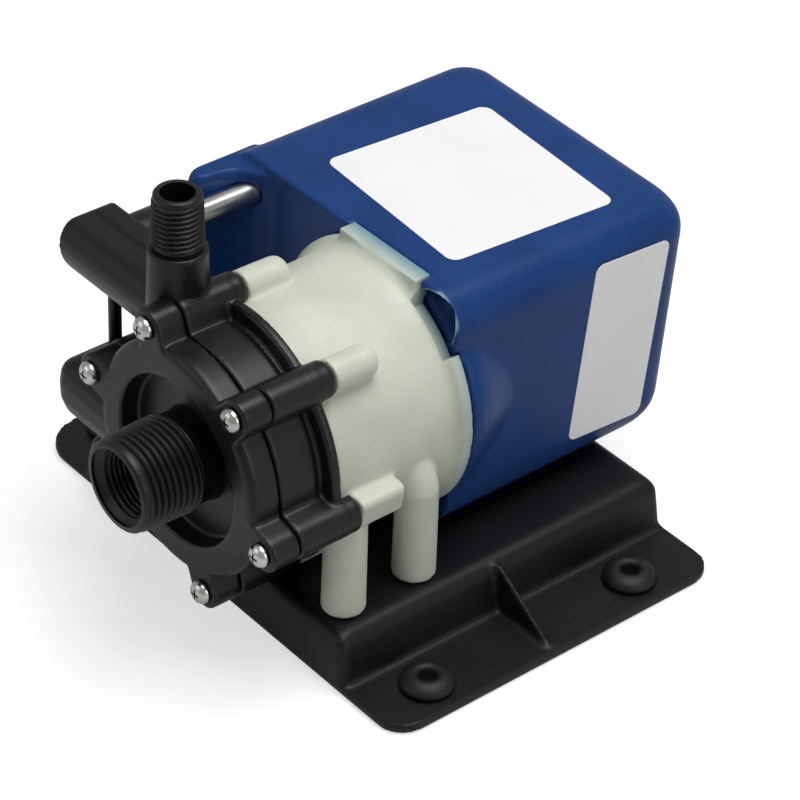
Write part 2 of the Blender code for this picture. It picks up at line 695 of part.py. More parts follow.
# Motor housing: cast epoxy block, hollow for the motor.
def motor_housing():
    bottom = FOOT_Y
    front = -HOUSING_FRONT
    left, top = HOUSING_LEFT, HOUSING_TOP
    corners = {
        "fbl": (left, bottom, front),
        "fbr": (side_x(bottom, HOUSING_FRONT), bottom, front),
        "ftl": (left, top, front),
        "ftr": (side_x(top, HOUSING_FRONT), top, front),
        "bbl": (left, bottom, -back_station(left, bottom)),
        "bbr": back_corner(bottom),
        "btl": (left, top, -back_station(left, top)),
        "btr": back_corner(top)}
    shape = bmesh.new()
    weights = shape.edges.layers.float.new("bevel_weight_edge")
    verts = {key: shape.verts.new(mm(*place_mm)) for key, place_mm in corners.items()}
    for face in (("fbl", "fbr", "ftr", "ftl"), ("bbr", "bbl", "btl", "btr"),
                 ("fbr", "bbr", "btr", "ftr"), ("bbl", "fbl", "ftl", "btl"),
                 ("ftl", "ftr", "btr", "btl"), ("bbl", "bbr", "fbr", "fbl")):
        shape.faces.new([verts[key] for key in face])
    edge_radii = {
        ("btl", "btr"): TOP_EDGE_R, ("ftl", "btl"): TOP_EDGE_R, ("ftr", "btr"): TOP_EDGE_R,
        ("bbl", "btl"): TOP_EDGE_R, ("bbr", "btr"): BACK_CORNER_R,
        ("fbr", "bbr"): LOW_EDGE_R, ("bbl", "bbr"): LOW_EDGE_R}
    widest = max(edge_radii.values())
    for (start, end), radius in edge_radii.items():
        edge = shape.edges.get((verts[start], verts[end]))
        edge[weights] = radius / widest
    housing = place("motor_housing", mesh_of("motor_housing", shape), HEAD, "blue_epoxy")
    soft = housing.modifiers.new("soft_edges", "BEVEL")
    soft.limit_method = "WEIGHT"
    soft.width = widest * MM
    soft.segments = 5
    soft.profile = 0.5
    soft.use_clamp_overlap = False
    # The wing at the left stands forward of the front face.
    wing = [
        (-63.0, -74.0), (-63.0, -53.5), (-62.4, -51.0), (-61.0, -49.6), (-59.2, -49.4),
        (-57.6, -50.6), (-56.9, -53.0), (-56.2, -57.0), (-54.4, -60.6), (-51.2, -63.6),
        (-47.0, -65.3), (-43.0, -66.3), (-41.0, -74.0)]
    shape = bmesh.new()
    near = [shape.verts.new(mm(x, bottom + 0.15, z)) for x, z in wing]
    far = [shape.verts.new(mm(x, 33.8, z)) for x, z in wing]
    shape.faces.new(near)
    shape.faces.new(list(reversed(far)))
    for i in range(len(wing)):
        j = (i + 1) % len(wing)
        shape.faces.new((near[j], near[i], far[i], far[j]))
    fuse(housing, "wing", shape)
    boss = turned("front_boss", [
        (0, -HOUSING_FRONT - 0.3), (RIM_R - 0.7, -HOUSING_FRONT - 0.3), (RIM_R - 0.7, -69.0),
        (33.5, -76.0), (22.0, -98.0), (0, -98.0)], HEAD, steps=44)
    boolean(housing, boss, "UNION")
    cavity = turned("motor_cavity", [
        (0, -60.0), (STATOR_R + GAP, -60.0), (STATOR_R + GAP, -121.0), (8.3, -121.0),
        (8.3, -131.5), (0, -131.5)], HEAD, steps=32)
    boolean(housing, cavity, "DIFFERENCE")
    shape = bmesh.new()
    box(shape, (-55.0, -19.0, -128.0), (-1.0, 19.0, -72.0))
    cut(housing, "coil_room", shape)
    shape = bmesh.new()
    box(shape, (-TAB_HALF - GAP, 29.0, -TAB_BACK - GAP), (TAB_HALF + GAP, 40.0, -60.0))
    bar(shape, (TUBE_X, TUBE_Y, -55), (TUBE_X, TUBE_Y, -92), TUBE_R + GAP, sides=24)
    cut(housing, "tab_slot", shape)
    shape = bmesh.new()
    bar(shape, (20.2, 24.8, -60), (20.2, 24.8, -70.8), 8.0, sides=32)
    cut(housing, "crescent", shape)
    shape = bmesh.new()
    bar(shape, (-70, 0, -112), (-54, 0, -112), 3.6, sides=24)
    cut(housing, "lead_hole", shape)
    return housing


def label(name, width, height, parent, location, turn):
    shape = bmesh.new()
    half_x, half_y = width / 2, height / 2
    corners = [(half_x, -half_y), (half_x, half_y), (-half_x, half_y), (-half_x, -half_y)]
    prism(shape, round_corners(corners, (3.0,) * 4), 0.0, 0.2)
    return place(name, mesh_of(name, shape), parent, "label_film", location, turn)


def side_label():
    """The small label lies on the leaning right side."""
    along = Vector((-SIDE_TAPER, 0, -1)).normalized()
    out = along.cross(Vector((SIDE_LEAN, 1, 0))).normalized()
    frame = Matrix((along, out.cross(along), out)).transposed()
    y, station = 0.4, HOUSING_BACK - SIDE_LABEL_INSET
    centre = Vector((side_x(y, station), y, -station)) + out * GAP
    film = label("side_label", 26.1, 55.0, HEAD, centre, (0, 0, 0))
    film.rotation_euler = (frame @ Matrix.Rotation(math.radians(-4.0), 3, "Z")).to_euler()


# Wet end behind the casing: cup, spindle, washers.
def containment_cup():
    inner = CUP_R - CUP_WALL
    profile = [
        (0, -48.4), (SPINDLE_R + GAP, -48.4), (SPINDLE_R + GAP, -46.6), (4.2, -46.6),
        (4.2, -49.4), (inner, -49.4), (inner, -24.8), (inner + 1.2, -22.4),
        (CUP_FLANGE_R, -22.4), (CUP_FLANGE_R, -23.9), (CUP_R, -24.2), (CUP_R, -CUP_END + 1),
        (CUP_R - 1, -CUP_END), (0, -CUP_END)]
    turned("containment_cup", profile, HEAD, "black_plastic")
    spindle = [
        (0, -9.2), (SPINDLE_R - 0.4, -9.2), (SPINDLE_R, -9.8), (SPINDLE_R, -48.1),
        (0, -48.1)]
    turned("spindle", spindle, HEAD, "ceramic", steps=24)
    washer = [(5.0, -10.3), (5.0, -11.7), (SPINDLE_R + GAP, -11.7), (SPINDLE_R + GAP, -10.3)]
    turned("front_thrust_washer", washer, HEAD, "ceramic", closed=True, steps=24)
    washer = [(4.2, -44.9), (4.2, -46.3), (SPINDLE_R + GAP, -46.3), (SPINDLE_R + GAP, -44.9)]
    turned("rear_thrust_washer", washer, HEAD, "ceramic", closed=True, steps=24)


def impeller():
    """Disc, core and backswept vanes; the ring magnet sits on its core."""
    profile = [
        (5.6, -12.4), (7.4, -12.4), (8.4, -14.0), (10.5, -17.4), (IMPELLER_R, -18.2),
        (IMPELLER_R, -20.2), (9.5, -20.2), (9.5, -44.2), (5.6, -44.2)]
    wheel = turned("impeller", profile, IMPELLER_AXIS, "black_plastic", closed=True)
    shape = bmesh.new()
    for i in range(VANE_COUNT):
        turn = 360.0 / VANE_COUNT * i
        outer, inner = [], []
        for k in range(7):
            radius = 8.6 + (IMPELLER_R - 0.4 - 8.6) * k / 6
            sweep = turn - 46.0 * (k / 6) ** 0.8
            half = math.degrees(0.75 / radius)
            outer.append(on_circle(radius, sweep + half))
            inner.append(on_circle(radius, sweep - half))
        prism(shape, outer + list(reversed(inner)), -18.9, -10.6)
    fuse(wheel, "vanes", shape, IMPELLER_AXIS)
    ring = [
        (9.5 + GAP, -20.6), (INNER_MAGNET_R, -20.6), (INNER_MAGNET_R, -44.2),
        (9.5 + GAP, -44.2)]
    turned("impeller_magnet", ring, IMPELLER_AXIS, "magnet", closed=True)
    bush = [
        (5.6 - GAP, -12.2), (5.6 - GAP, -44.4), (SPINDLE_R + RUN, -44.4),
        (SPINDLE_R + RUN, -12.2)]
    turned("impeller_bushing", bush, IMPELLER_AXIS, "ceramic", closed=True, steps=24)


def drive_magnet():
    ring = [
        (DRIVE_MAGNET_OUT_R, -31.0), (DRIVE_MAGNET_OUT_R, -52.8),
        (DRIVE_MAGNET_IN_R, -52.8), (DRIVE_MAGNET_IN_R, -31.0)]
    turned("drive_magnet", ring, MOTOR_AXIS, "magnet", closed=True)
    cup = [
        (DRIVE_MAGNET_OUT_R + GAP, -29.5), (DRIVE_CUP_R, -29.5), (DRIVE_CUP_R, -55.0),
        (DRIVE_CUP_R - 1.0, -56.0), (7.6, -56.0), (7.6, -59.2), (SHAFT_R + GAP, -59.2),
        (SHAFT_R + GAP, -53.2), (DRIVE_MAGNET_OUT_R + GAP, -53.2)]
    turned("drive_cup", cup, MOTOR_AXIS, "lamination", closed=True)


def motor():
    shaft = [
        (0, -52.9), (SHAFT_R - 0.5, -52.9), (SHAFT_R, -53.4), (SHAFT_R, -130.2),
        (SHAFT_R - 0.5, -130.7), (0, -130.7)]
    turned("motor_shaft", shaft, MOTOR_AXIS, "stainless", steps=24)
    rotor = [
        (ROTOR_R, -STACK_FRONT), (ROTOR_R, -STACK_BACK), (11.5, -STACK_BACK),
        (11.0, -118.0), (SHAFT_R + GAP, -118.0), (SHAFT_R + GAP, -80.0), (11.0, -80.0),
        (11.5, -STACK_FRONT)]
    turned("rotor", rotor, MOTOR_AXIS, "lamination", closed=True)
    for name, front, back, radius in (("front_bearing", 61.8, 66.6, 9.0),
                                      ("rear_bearing", 122.0, 130.0, 8.0)):
        bearing = [(radius, -front), (radius, -back), (SHAFT_R + RUN, -back),
                   (SHAFT_R + RUN, -front)]
        turned(name, bearing, HEAD, "bronze", closed=True, steps=24)
    # Frame-shaped lamination stack: ring at the rotor, limb at the left for the coil.
    ring = [(STATOR_R, -STACK_FRONT), (STATOR_R, -STACK_BACK), (ROTOR_R + 0.5, -STACK_BACK),
            (ROTOR_R + 0.5, -STACK_FRONT)]
    stack = turned("stator_core", ring, HEAD, "lamination", closed=True)
    shape = bmesh.new()
    prism(shape, [(-8, 14.4), (-8, 18.4), (-50, 18.4), (-50, -18.4), (-8, -18.4),
                  (-8, -14.4), (-14, -13.0), (-22, -9.5), (-24, -9.0), (-41, -9.0),
                  (-41, 9.0), (-24, 9.0), (-22, 9.5), (-14, 13.0)],
          -STACK_BACK + 0.02, -STACK_FRONT - 0.02)
    fuse(stack, "stator_limb", shape)
    hole = turned("rotor_room", [
        (0, -STACK_FRONT + 2), (ROTOR_R + 0.5, -STACK_FRONT + 2),
        (ROTOR_R + 0.5, -STACK_BACK - 2), (0, -STACK_BACK - 2)], HEAD)
    boolean(stack, hole, "DIFFERENCE")
    # The coil is wound round the left limb.
    shape = bmesh.new()
    box(shape, (-54.5, -8.6, -STACK_BACK - 6.5), (-27.0, 8.6, -STACK_FRONT + 6.5))
    coil = place("stator_coil", mesh_of("stator_coil", shape), HEAD, "copper")
    shape = bmesh.new()
    box(shape, (-50.0 - GAP, -12, -STACK_BACK - GAP), (-41.0 + GAP, 12, -STACK_FRONT + GAP))
    cut(coil, "coil_window", shape)


def cable_gland():
    """Plain lead bushing on the housing's hidden left side."""
    profile = [
        (1.7, 0), (3.3, 0), (3.3, 7.4), (6.6, 7.4), (6.6, 9.2), (5.0, 9.9), (4.2, 15.6),
        (3.6, 16.0), (1.7, 16.0)]
    profile.reverse()
    turned("cable_gland", profile, HEAD, "rubber", closed=True, steps=16,
           location=(-56.4, 0, -112), turn=(0, -90, 0))


def smooth_all():
    for thing in PARTS.objects:
        if thing.type != "MESH":
            continue
        for face in thing.data.polygons:
            face.use_smooth = True
        thing.data.set_sharp_from_angle(angle=math.radians(35))


base_plate()
base_grommets()
base_screws()
front_cover()
volute_casing()
cover_screws()
casing_seal()
cooling_line()
pump_bracket()
motor_housing()
containment_cup()
impeller()
drive_magnet()
motor()
cable_gland()
label("top_label", 55.9, 51.9, HEAD, (-11.8, HOUSING_TOP + GAP, -103.2), (-90, -4.2, 0))
side_label()
smooth_all()
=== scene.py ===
"""Looks of a magnetic-drive submersible pump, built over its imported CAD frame."""
import json
import math

import bmesh
import bpy
from mathutils import Matrix, Vector


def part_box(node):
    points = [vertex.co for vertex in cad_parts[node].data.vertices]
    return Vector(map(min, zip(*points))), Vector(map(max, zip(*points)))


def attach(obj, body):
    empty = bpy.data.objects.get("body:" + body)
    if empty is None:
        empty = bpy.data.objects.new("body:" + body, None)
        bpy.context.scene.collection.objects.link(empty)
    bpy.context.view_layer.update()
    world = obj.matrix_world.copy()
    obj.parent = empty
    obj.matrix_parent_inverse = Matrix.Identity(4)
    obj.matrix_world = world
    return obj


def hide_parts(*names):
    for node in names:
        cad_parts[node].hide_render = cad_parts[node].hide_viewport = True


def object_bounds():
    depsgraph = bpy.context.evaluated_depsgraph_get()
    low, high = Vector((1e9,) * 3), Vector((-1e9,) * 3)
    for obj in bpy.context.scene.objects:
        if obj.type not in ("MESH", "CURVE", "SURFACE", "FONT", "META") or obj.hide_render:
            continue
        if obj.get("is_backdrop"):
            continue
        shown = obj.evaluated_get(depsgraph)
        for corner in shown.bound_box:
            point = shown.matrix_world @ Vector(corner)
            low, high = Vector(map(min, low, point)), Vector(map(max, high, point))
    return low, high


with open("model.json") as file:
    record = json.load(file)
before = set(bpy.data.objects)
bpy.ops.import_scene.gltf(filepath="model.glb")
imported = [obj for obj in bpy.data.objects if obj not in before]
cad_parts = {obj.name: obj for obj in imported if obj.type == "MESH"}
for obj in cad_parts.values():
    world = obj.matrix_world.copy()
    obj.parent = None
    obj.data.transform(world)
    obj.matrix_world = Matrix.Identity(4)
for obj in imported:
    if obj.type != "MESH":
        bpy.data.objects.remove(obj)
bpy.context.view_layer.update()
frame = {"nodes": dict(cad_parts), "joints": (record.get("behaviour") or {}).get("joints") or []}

# Base tray.
# Injection-moulded glass-filled plastic, hollow from below, with a flange each
# side. Everything else stands on its platform.
MM = 0.001


def loft(shape, rings, closed=False):
    """Skin a list of point rings with quads, and cap the ends of an open stack."""
    made = [[shape.verts.new(point) for point in ring] for ring in rings]
    pairs = list(zip(made, made[1:]))
    if closed:
        pairs.append((made[-1], made[0]))
    for lower, upper in pairs:
        count = len(lower)
        for i in range(count):
            j = (i + 1) % count
            shape.faces.new((lower[i], lower[j], upper[j], upper[i]))
    if not closed:
        shape.faces.new(list(reversed(made[0])))
        shape.faces.new(made[-1])


def circle(centre, side, up, radius, steps):
    """A ring of points round a centre, in the plane of side and up."""
    angles = [math.tau * i / steps for i in range(steps)]
    return [centre + (side * math.cos(a) + up * math.sin(a)) * radius * MM for a in angles]


def lathe(shape, profile, origin, along, side, steps=96, closed=False):
    """Turn a (radius, height) profile about an axis through origin."""
    up = along.cross(side)
    rings = [circle(origin + along * height * MM, side, up, radius, steps)
             for radius, height in profile]
    loft(shape, rings, closed)


def slab(shape, outline, point, low, high):
    """Extrude a flat outline between two levels; point maps (u, v, level)."""
    loft(shape, [[point(u, v, level) for u, v in outline] for level in (low, high)])


def rounded(corners, radii, steps=8):
    """Round the corners of a convex outline listed anticlockwise."""
    points = []
    count = len(corners)
    for i in range(count):
        here = Vector(corners[i])
        before = (Vector(corners[i - 1]) - here).normalized()
        after = (Vector(corners[(i + 1) % count]) - here).normalized()
        half = before.angle(after) / 2
        radius = radii[i]
        centre = here + (before + after).normalized() * (radius / math.sin(half))
        first = here + before * (radius / math.tan(half)) - centre
        start = math.atan2(first.y, first.x)
        for k in range(steps + 1):
            a = start + (math.pi - 2 * half) * k / steps
            points.append((centre.x + radius * math.cos(a), centre.y + radius * math.sin(a)))
    return points


def mesh_object(name, shape):
    """Turn a bmesh into an object with its faces outwards."""
    bmesh.ops.recalc_face_normals(shape, faces=shape.faces)
    mesh = bpy.data.meshes.new(name)
    shape.to_mesh(mesh)
    shape.free()
    thing = bpy.data.objects.new(name, mesh)
    bpy.context.scene.collection.objects.link(thing)
    return thing


def bake(thing):
    """Replace an object's mesh with the result of its modifiers."""
    view = bpy.context.evaluated_depsgraph_get()
    view.update()
    done = bpy.data.meshes.new_from_object(thing.evaluated_get(view))
    thing.modifiers.clear()
    thing.data = done
    return thing


def combine(thing, cutter, operation="DIFFERENCE", crossing=False):
    """Cut one closed object out of another, or join it, and drop it.

    crossing says that the second object is made of solids that overlap each other.
    """
    step = thing.modifiers.new("cut", "BOOLEAN")
    step.operation = operation
    step.solver = "EXACT"
    step.use_self = crossing
    step.object = cutter
    bake(thing)
    bpy.data.objects.remove(cutter)


def melt(thing, voxel):
    """Rebuild overlapping solids as one skin."""
    skin = thing.modifiers.new("skin", "REMESH")
    skin.mode = "VOXEL"
    skin.voxel_size = voxel * MM


def soften(thing, passes):
    """Round every edge a little."""
    soft = thing.modifiers.new("soft", "SMOOTH")
    soft.factor = 0.5
    soft.iterations = passes


def shade(thing, angle=180.0):
    """Shade smooth, with edges sharper than the angle kept sharp."""
    for face in thing.data.polygons:
        face.use_smooth = True
    if angle < 180.0:
        thing.data.set_sharp_from_angle(angle=math.radians(angle))


def finish_piece(thing, body, material, nodes):
    """Give a finished piece its material and body, and hide the nodes it stands for."""
    thing.data.materials.clear()
    thing.data.materials.append(material)
    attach(thing, body)
    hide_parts(*nodes)


def grain_group():
    """Moulding texture: tone, gloss and height from three noises."""
    group = bpy.data.node_groups.new("moulding_grain", "ShaderNodeTree")
    face = group.interface
    face.new_socket("Colour", in_out="INPUT", socket_type="NodeSocketColor")
    for name, value in (("Grain Size", 900.0), ("Tone", 0.15), ("Roughness", 0.45),
                        ("Gloss Spread", 0.10), ("Dust", 0.0)):
        socket = face.new_socket(name, in_out="INPUT", socket_type="NodeSocketFloat")
        socket.default_value = value
    face.new_socket("Base Color", in_out="OUTPUT", socket_type="NodeSocketColor")
    face.new_socket("Roughness", in_out="OUTPUT", socket_type="NodeSocketFloat")
    face.new_socket("Bump Height", in_out="OUTPUT", socket_type="NodeSocketFloat")
    nodes, links = group.nodes, group.links
    given = nodes.new("NodeGroupInput")
    wanted = nodes.new("NodeGroupOutput")
    where = nodes.new("ShaderNodeTexCoord")
    fine = nodes.new("ShaderNodeTexNoise")
    fine.inputs["Detail"].default_value = 3.0
    links.new(where.outputs["Object"], fine.inputs["Vector"])
    links.new(given.outputs["Grain Size"], fine.inputs["Scale"])
    broad = nodes.new("ShaderNodeTexNoise")
    broad.inputs["Scale"].default_value = 55.0
    broad.inputs["Detail"].default_value = 4.0
    links.new(where.outputs["Object"], broad.inputs["Vector"])
    tone = nodes.new("ShaderNodeMapRange")
    tone.inputs["From Min"].default_value = 0.3
    tone.inputs["From Max"].default_value = 0.7
    links.new(broad.outputs["Fac"], tone.inputs["Value"])
    low = nodes.new("ShaderNodeMath")
    low.operation = "SUBTRACT"
    low.inputs[0].default_value = 1.0
    links.new(given.outputs["Tone"], low.inputs[1])
    high = nodes.new("ShaderNodeMath")
    high.operation = "ADD"
    high.inputs[0].default_value = 1.0
    links.new(given.outputs["Tone"], high.inputs[1])
    links.new(low.outputs[0], tone.inputs["To Min"])
    links.new(high.outputs[0], tone.inputs["To Max"])
    tint = nodes.new("ShaderNodeVectorMath")
    tint.operation = "SCALE"
    links.new(given.outputs["Colour"], tint.inputs[0])
    links.new(tone.outputs["Result"], tint.inputs["Scale"])
    speck = nodes.new("ShaderNodeTexNoise")
    speck.inputs["Scale"].default_value = 2600.0
    speck.inputs["Detail"].default_value = 1.0
    links.new(where.outputs["Object"], speck.inputs["Vector"])
    rare = nodes.new("ShaderNodeMapRange")
    rare.inputs["From Min"].default_value = 0.72
    rare.inputs["From Max"].default_value = 0.76
    links.new(speck.outputs["Fac"], rare.inputs["Value"])
    dusty = nodes.new("ShaderNodeMath")
    dusty.operation = "MULTIPLY"
    links.new(rare.outputs["Result"], dusty.inputs[0])
    links.new(given.outputs["Dust"], dusty.inputs[1])
    mix = nodes.new("ShaderNodeMix")
    mix.data_type = "RGBA"
    mix.inputs["B"].default_value = (0.35, 0.36, 0.38, 1.0)
    links.new(dusty.outputs[0], mix.inputs["Factor"])
    links.new(tint.outputs[0], mix.inputs["A"])
    links.new(mix.outputs["Result"], wanted.inputs["Base Color"])
    spread = nodes.new("ShaderNodeMath")
    spread.operation = "MULTIPLY_ADD"
    centred = nodes.new("ShaderNodeMath")
    centred.operation = "SUBTRACT"
    centred.inputs[1].default_value = 0.5
    links.new(broad.outputs["Fac"], centred.inputs[0])
    links.new(centred.outputs[0], spread.inputs[0])
    links.new(given.outputs["Gloss Spread"], spread.inputs[1])
    links.new(given.outputs["Roughness"], spread.inputs[2])
    links.new(spread.outputs[0], wanted.inputs["Roughness"])
    links.new(fine.outputs["Fac"], wanted.inputs["Bump Height"])
    return group


GRAIN = grain_group()


def grained(name, colour, roughness, size=900.0, tone=0.15, spread=0.10, bump=0.10,
            dust=0.0, metallic=0.0, specular=0.5):
    """A Principled material fed by the moulding grain."""
    material = bpy.data.materials.new(name)
    material.use_nodes = True
    nodes, links = material.node_tree.nodes, material.node_tree.links
    shader = nodes["Principled BSDF"]
    shader.inputs["Metallic"].default_value = metallic
    shader.inputs["Specular IOR Level"].default_value = specular
    grain = nodes.new("ShaderNodeGroup")
    grain.node_tree = GRAIN
    grain.inputs["Colour"].default_value = (*colour, 1.0)
    grain.inputs["Grain Size"].default_value = size
    grain.inputs["Tone"].default_value = tone
    grain.inputs["Roughness"].default_value = roughness
    grain.inputs["Gloss Spread"].default_value = spread
    grain.inputs["Dust"].default_value = dust
    links.new(grain.outputs["Base Color"], shader.inputs["Base Color"])
    links.new(grain.outputs["Roughness"], shader.inputs["Roughness"])
    relief = nodes.new("ShaderNodeBump")
    relief.inputs["Strength"].default_value = bump
    relief.inputs["Distance"].default_value = 0.06 * MM
    links.new(grain.outputs["Bump Height"], relief.inputs["Height"])
    links.new(relief.outputs["Normal"], shader.inputs["Normal"])
    return material


BASE_PLASTIC = grained("base_plastic", (0.0045, 0.0045, 0.0055), 0.44, size=2200.0,
                       bump=0.5, dust=0.14, specular=0.28)


def world_point(x, y, z):
    """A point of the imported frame, given in millimetres."""
    return Vector((x, y, z)) * MM


def middle_of(node):
    """The middle of a CAD node's box, in millimetres."""
    low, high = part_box(node)
    return (low + high) / 2 / MM


FLANGE_HOLES = [middle_of(f"base_grommet_{i}").to_2d() for i in (1, 2, 3, 4)]


def base_tray():
    """Flange, drafted platform and gussets in one skin, hollow below, with its holes."""
    low, high = (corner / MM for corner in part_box("base_plate"))
    margin = 0.1
    half, front, back = high.x - margin, low.y + margin, high.y - margin
    wall, top, draft, end_draft, skin = 56.4, 17.0, 3.0, 0.5, 2.7
    flange_low, flange_high = 0.1, 2.9
    shape = bmesh.new()
    corners = [(half, front), (half, back), (-half, back), (-half, front)]
    outline = rounded(corners, (8.0, 8.0, 12.0, 12.0))
    slab(shape, outline, world_point, flange_low, flange_high)
    # The platform narrows upwards and its top edge is rounded.
    sections = []
    radius = 3.6
    levels = [0.4, 4.0, 9.0, top - radius]
    inset = [0.0] * 4
    for k in range(1, 7):
        a = math.pi / 2 * k / 6
        levels.append(top - radius + radius * math.sin(a))
        inset.append(radius - radius * math.cos(a))
    for level, pull in zip(levels, inset):
        lean = draft * level / top + pull
        end = end_draft * level / top + pull
        corners = [(wall - lean, front + end), (wall - lean, back - end),
                   (-wall + lean, back - end), (-wall + lean, front + end)]
        ring = rounded(corners, (2.4,) * 4, 6)
        sections.append([world_point(x, y, level) for x, y in ring])
    loft(shape, sections)
    # One gusset each side runs from the platform's shoulder to the flange's edge.
    rib_front, rib_back, rib_top, rib_toe = 5.4, 7.0, 16.2, 2.0
    for side in (1, -1):
        rib = [(side * (wall - 4), 1.0), (side * (half - rib_toe), 1.6),
               (side * (half - rib_toe), 3.1), (side * (wall - 1.6), rib_top),
               (side * (wall - 4), rib_top)]
        loft(shape, [[world_point(x, y, z) for x, z in rib] for y in (rib_front, rib_back)])
    tray = mesh_object("base_tray", shape)
    shape = bmesh.new()
    rings = []
    for level, lean in ((-2.0, 0.0), (top - skin, draft - 0.5)):
        x = wall - skin - lean
        corners = [(x, front + skin), (x, back - skin), (-x, back - skin),
                   (-x, front + skin)]
        rings.append([world_point(u, v, level) for u, v in rounded(corners, (1.5,) * 4, 4)])
    loft(shape, rings)
    hollow = mesh_object("hollow", shape)
    melt(tray, 0.72)
    bake(tray)
    combine(tray, hollow)
    hole_radius = 4.8
    shape = bmesh.new()
    for x, y in FLANGE_HOLES:
        lathe(shape, [(hole_radius, -2.0), (hole_radius, 6.0)], world_point(x, y, 0),
              Vector((0, 0, 1)), Vector((1, 0, 0)), 48)
    combine(tray, mesh_object("holes", shape))
    soften(tray, 3)
    bake(tray)
    shade(tray, 50.0)
    return tray


tray = base_tray()
finish_piece(tray, "pump", BASE_PLASTIC, ["base_plate"])

# Flange grommets.
# Four moulded rubber bushings pushed into the flange holes; a screw goes through
# each. Repeated with geometry nodes from one turned shape.
RUBBER = grained("rubber", (0.004, 0.004, 0.005), 0.52, size=1400.0, bump=0.4, dust=0.15,
                 specular=0.35)


def repeat_mesh(name, source, points, material):
    """Instance a source mesh on points with geometry nodes and bake it."""
    cloud = bpy.data.meshes.new(name + "_points")
    cloud.from_pydata(points, [], [])
    thing = bpy.data.objects.new(name, cloud)
    bpy.context.scene.collection.objects.link(thing)
    group = bpy.data.node_groups.new(name + "_nodes", "GeometryNodeTree")
    face = group.interface
    face.new_socket("Geometry", in_out="INPUT", socket_type="NodeSocketGeometry")
    face.new_socket("Piece", in_out="INPUT", socket_type="NodeSocketObject")
    face.new_socket("Material", in_out="INPUT", socket_type="NodeSocketMaterial")
    face.new_socket("Geometry", in_out="OUTPUT", socket_type="NodeSocketGeometry")
    nodes, links = group.nodes, group.links
    given = nodes.new("NodeGroupInput")
    wanted = nodes.new("NodeGroupOutput")
    info = nodes.new("GeometryNodeObjectInfo")
    scatter = nodes.new("GeometryNodeInstanceOnPoints")
    real = nodes.new("GeometryNodeRealizeInstances")
    paint = nodes.new("GeometryNodeSetMaterial")
    links.new(given.outputs["Geometry"], scatter.inputs["Points"])
    links.new(given.outputs["Piece"], info.inputs["Object"])
    links.new(info.outputs["Geometry"], scatter.inputs["Instance"])
    links.new(scatter.outputs["Instances"], real.inputs["Geometry"])
    links.new(real.outputs["Geometry"], paint.inputs["Geometry"])
    links.new(given.outputs["Material"], paint.inputs["Material"])
    links.new(paint.outputs["Geometry"], wanted.inputs["Geometry"])
    maker = thing.modifiers.new("repeat", "NODES")
    maker.node_group = group
    ids = {item.name: item.identifier for item in face.items_tree
           if item.item_type == "SOCKET" and item.in_out == "INPUT"}
    maker[ids["Piece"]] = source
    maker[ids["Material"]] = material
    bake(thing)
    bpy.data.objects.remove(source)
    return thing


shape = bmesh.new()
grommet_profile = [
    (2.3, 0.3), (4.4, 0.3), (4.4, 3.3), (6.8, 3.25), (7.2, 3.5), (7.25, 4.1), (6.95, 4.9),
    (6.2, 5.7), (5.2, 6.3), (4.1, 6.65), (3.2, 6.6), (2.55, 6.2), (2.3, 5.6)]
lathe(shape, grommet_profile, Vector((0, 0, 0)), Vector((0, 0, 1)), Vector((1, 0, 0)),
      64, closed=True)
source = mesh_object("grommet_source", shape)
spots = [world_point(x, y, 0) for x, y in FLANGE_HOLES]
grommets = repeat_mesh("flange_grommets", source, spots, RUBBER)
shade(grommets, 60.0)
finish_piece(grommets, "pump", RUBBER,
             [f"base_grommet_{i}" for i in (1, 2, 3, 4)])

# Bracket.
# Pale, slightly translucent plastic: a collar round the drive magnet with screw
# bosses, a rim and tab cast into the motor block, and four posts on the base.
BACK = Vector((0, 1, 0))
RIGHT = Vector((1, 0, 0))
UP = Vector((0, 0, 1))
# The middle of the cover's front face, on the pump axis; the inlet stands out of it.
INLET_LENGTH = 17.7
axis = Vector(frame["joints"][0]["pos_m"])
FACE = Vector((axis.x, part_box("front_cover")[0].y + INLET_LENGTH * MM, axis.z))


def head(x, station, up):
    """A point by the pump axis: right, behind the cover's face, above the axis."""
    return FACE + Vector((x, station, up)) * MM


def on_circle(radius, degrees):
    """A point round the pump axis, as right and up."""
    angle = math.radians(degrees)
    return radius * math.cos(angle), radius * math.sin(angle)


def mould(thing, voxel, passes):
    """Melt overlapping solids into one skin with small fillets."""
    melt(thing, voxel)
    soften(thing, passes)
    bake(thing)


SCREWS = [108.9 - 60.0 * i for i in range(6)]
SCREW_CIRCLE = 35.5
# The tab and the posts, from the pump axis.
TAB_HALF, TAB_LOW, TAB_HIGH = 15.0, 30.5, 36.1
POST_X, POST_STATIONS, POST_FOOT = 32.1, (28.5, 51.4), -38.9


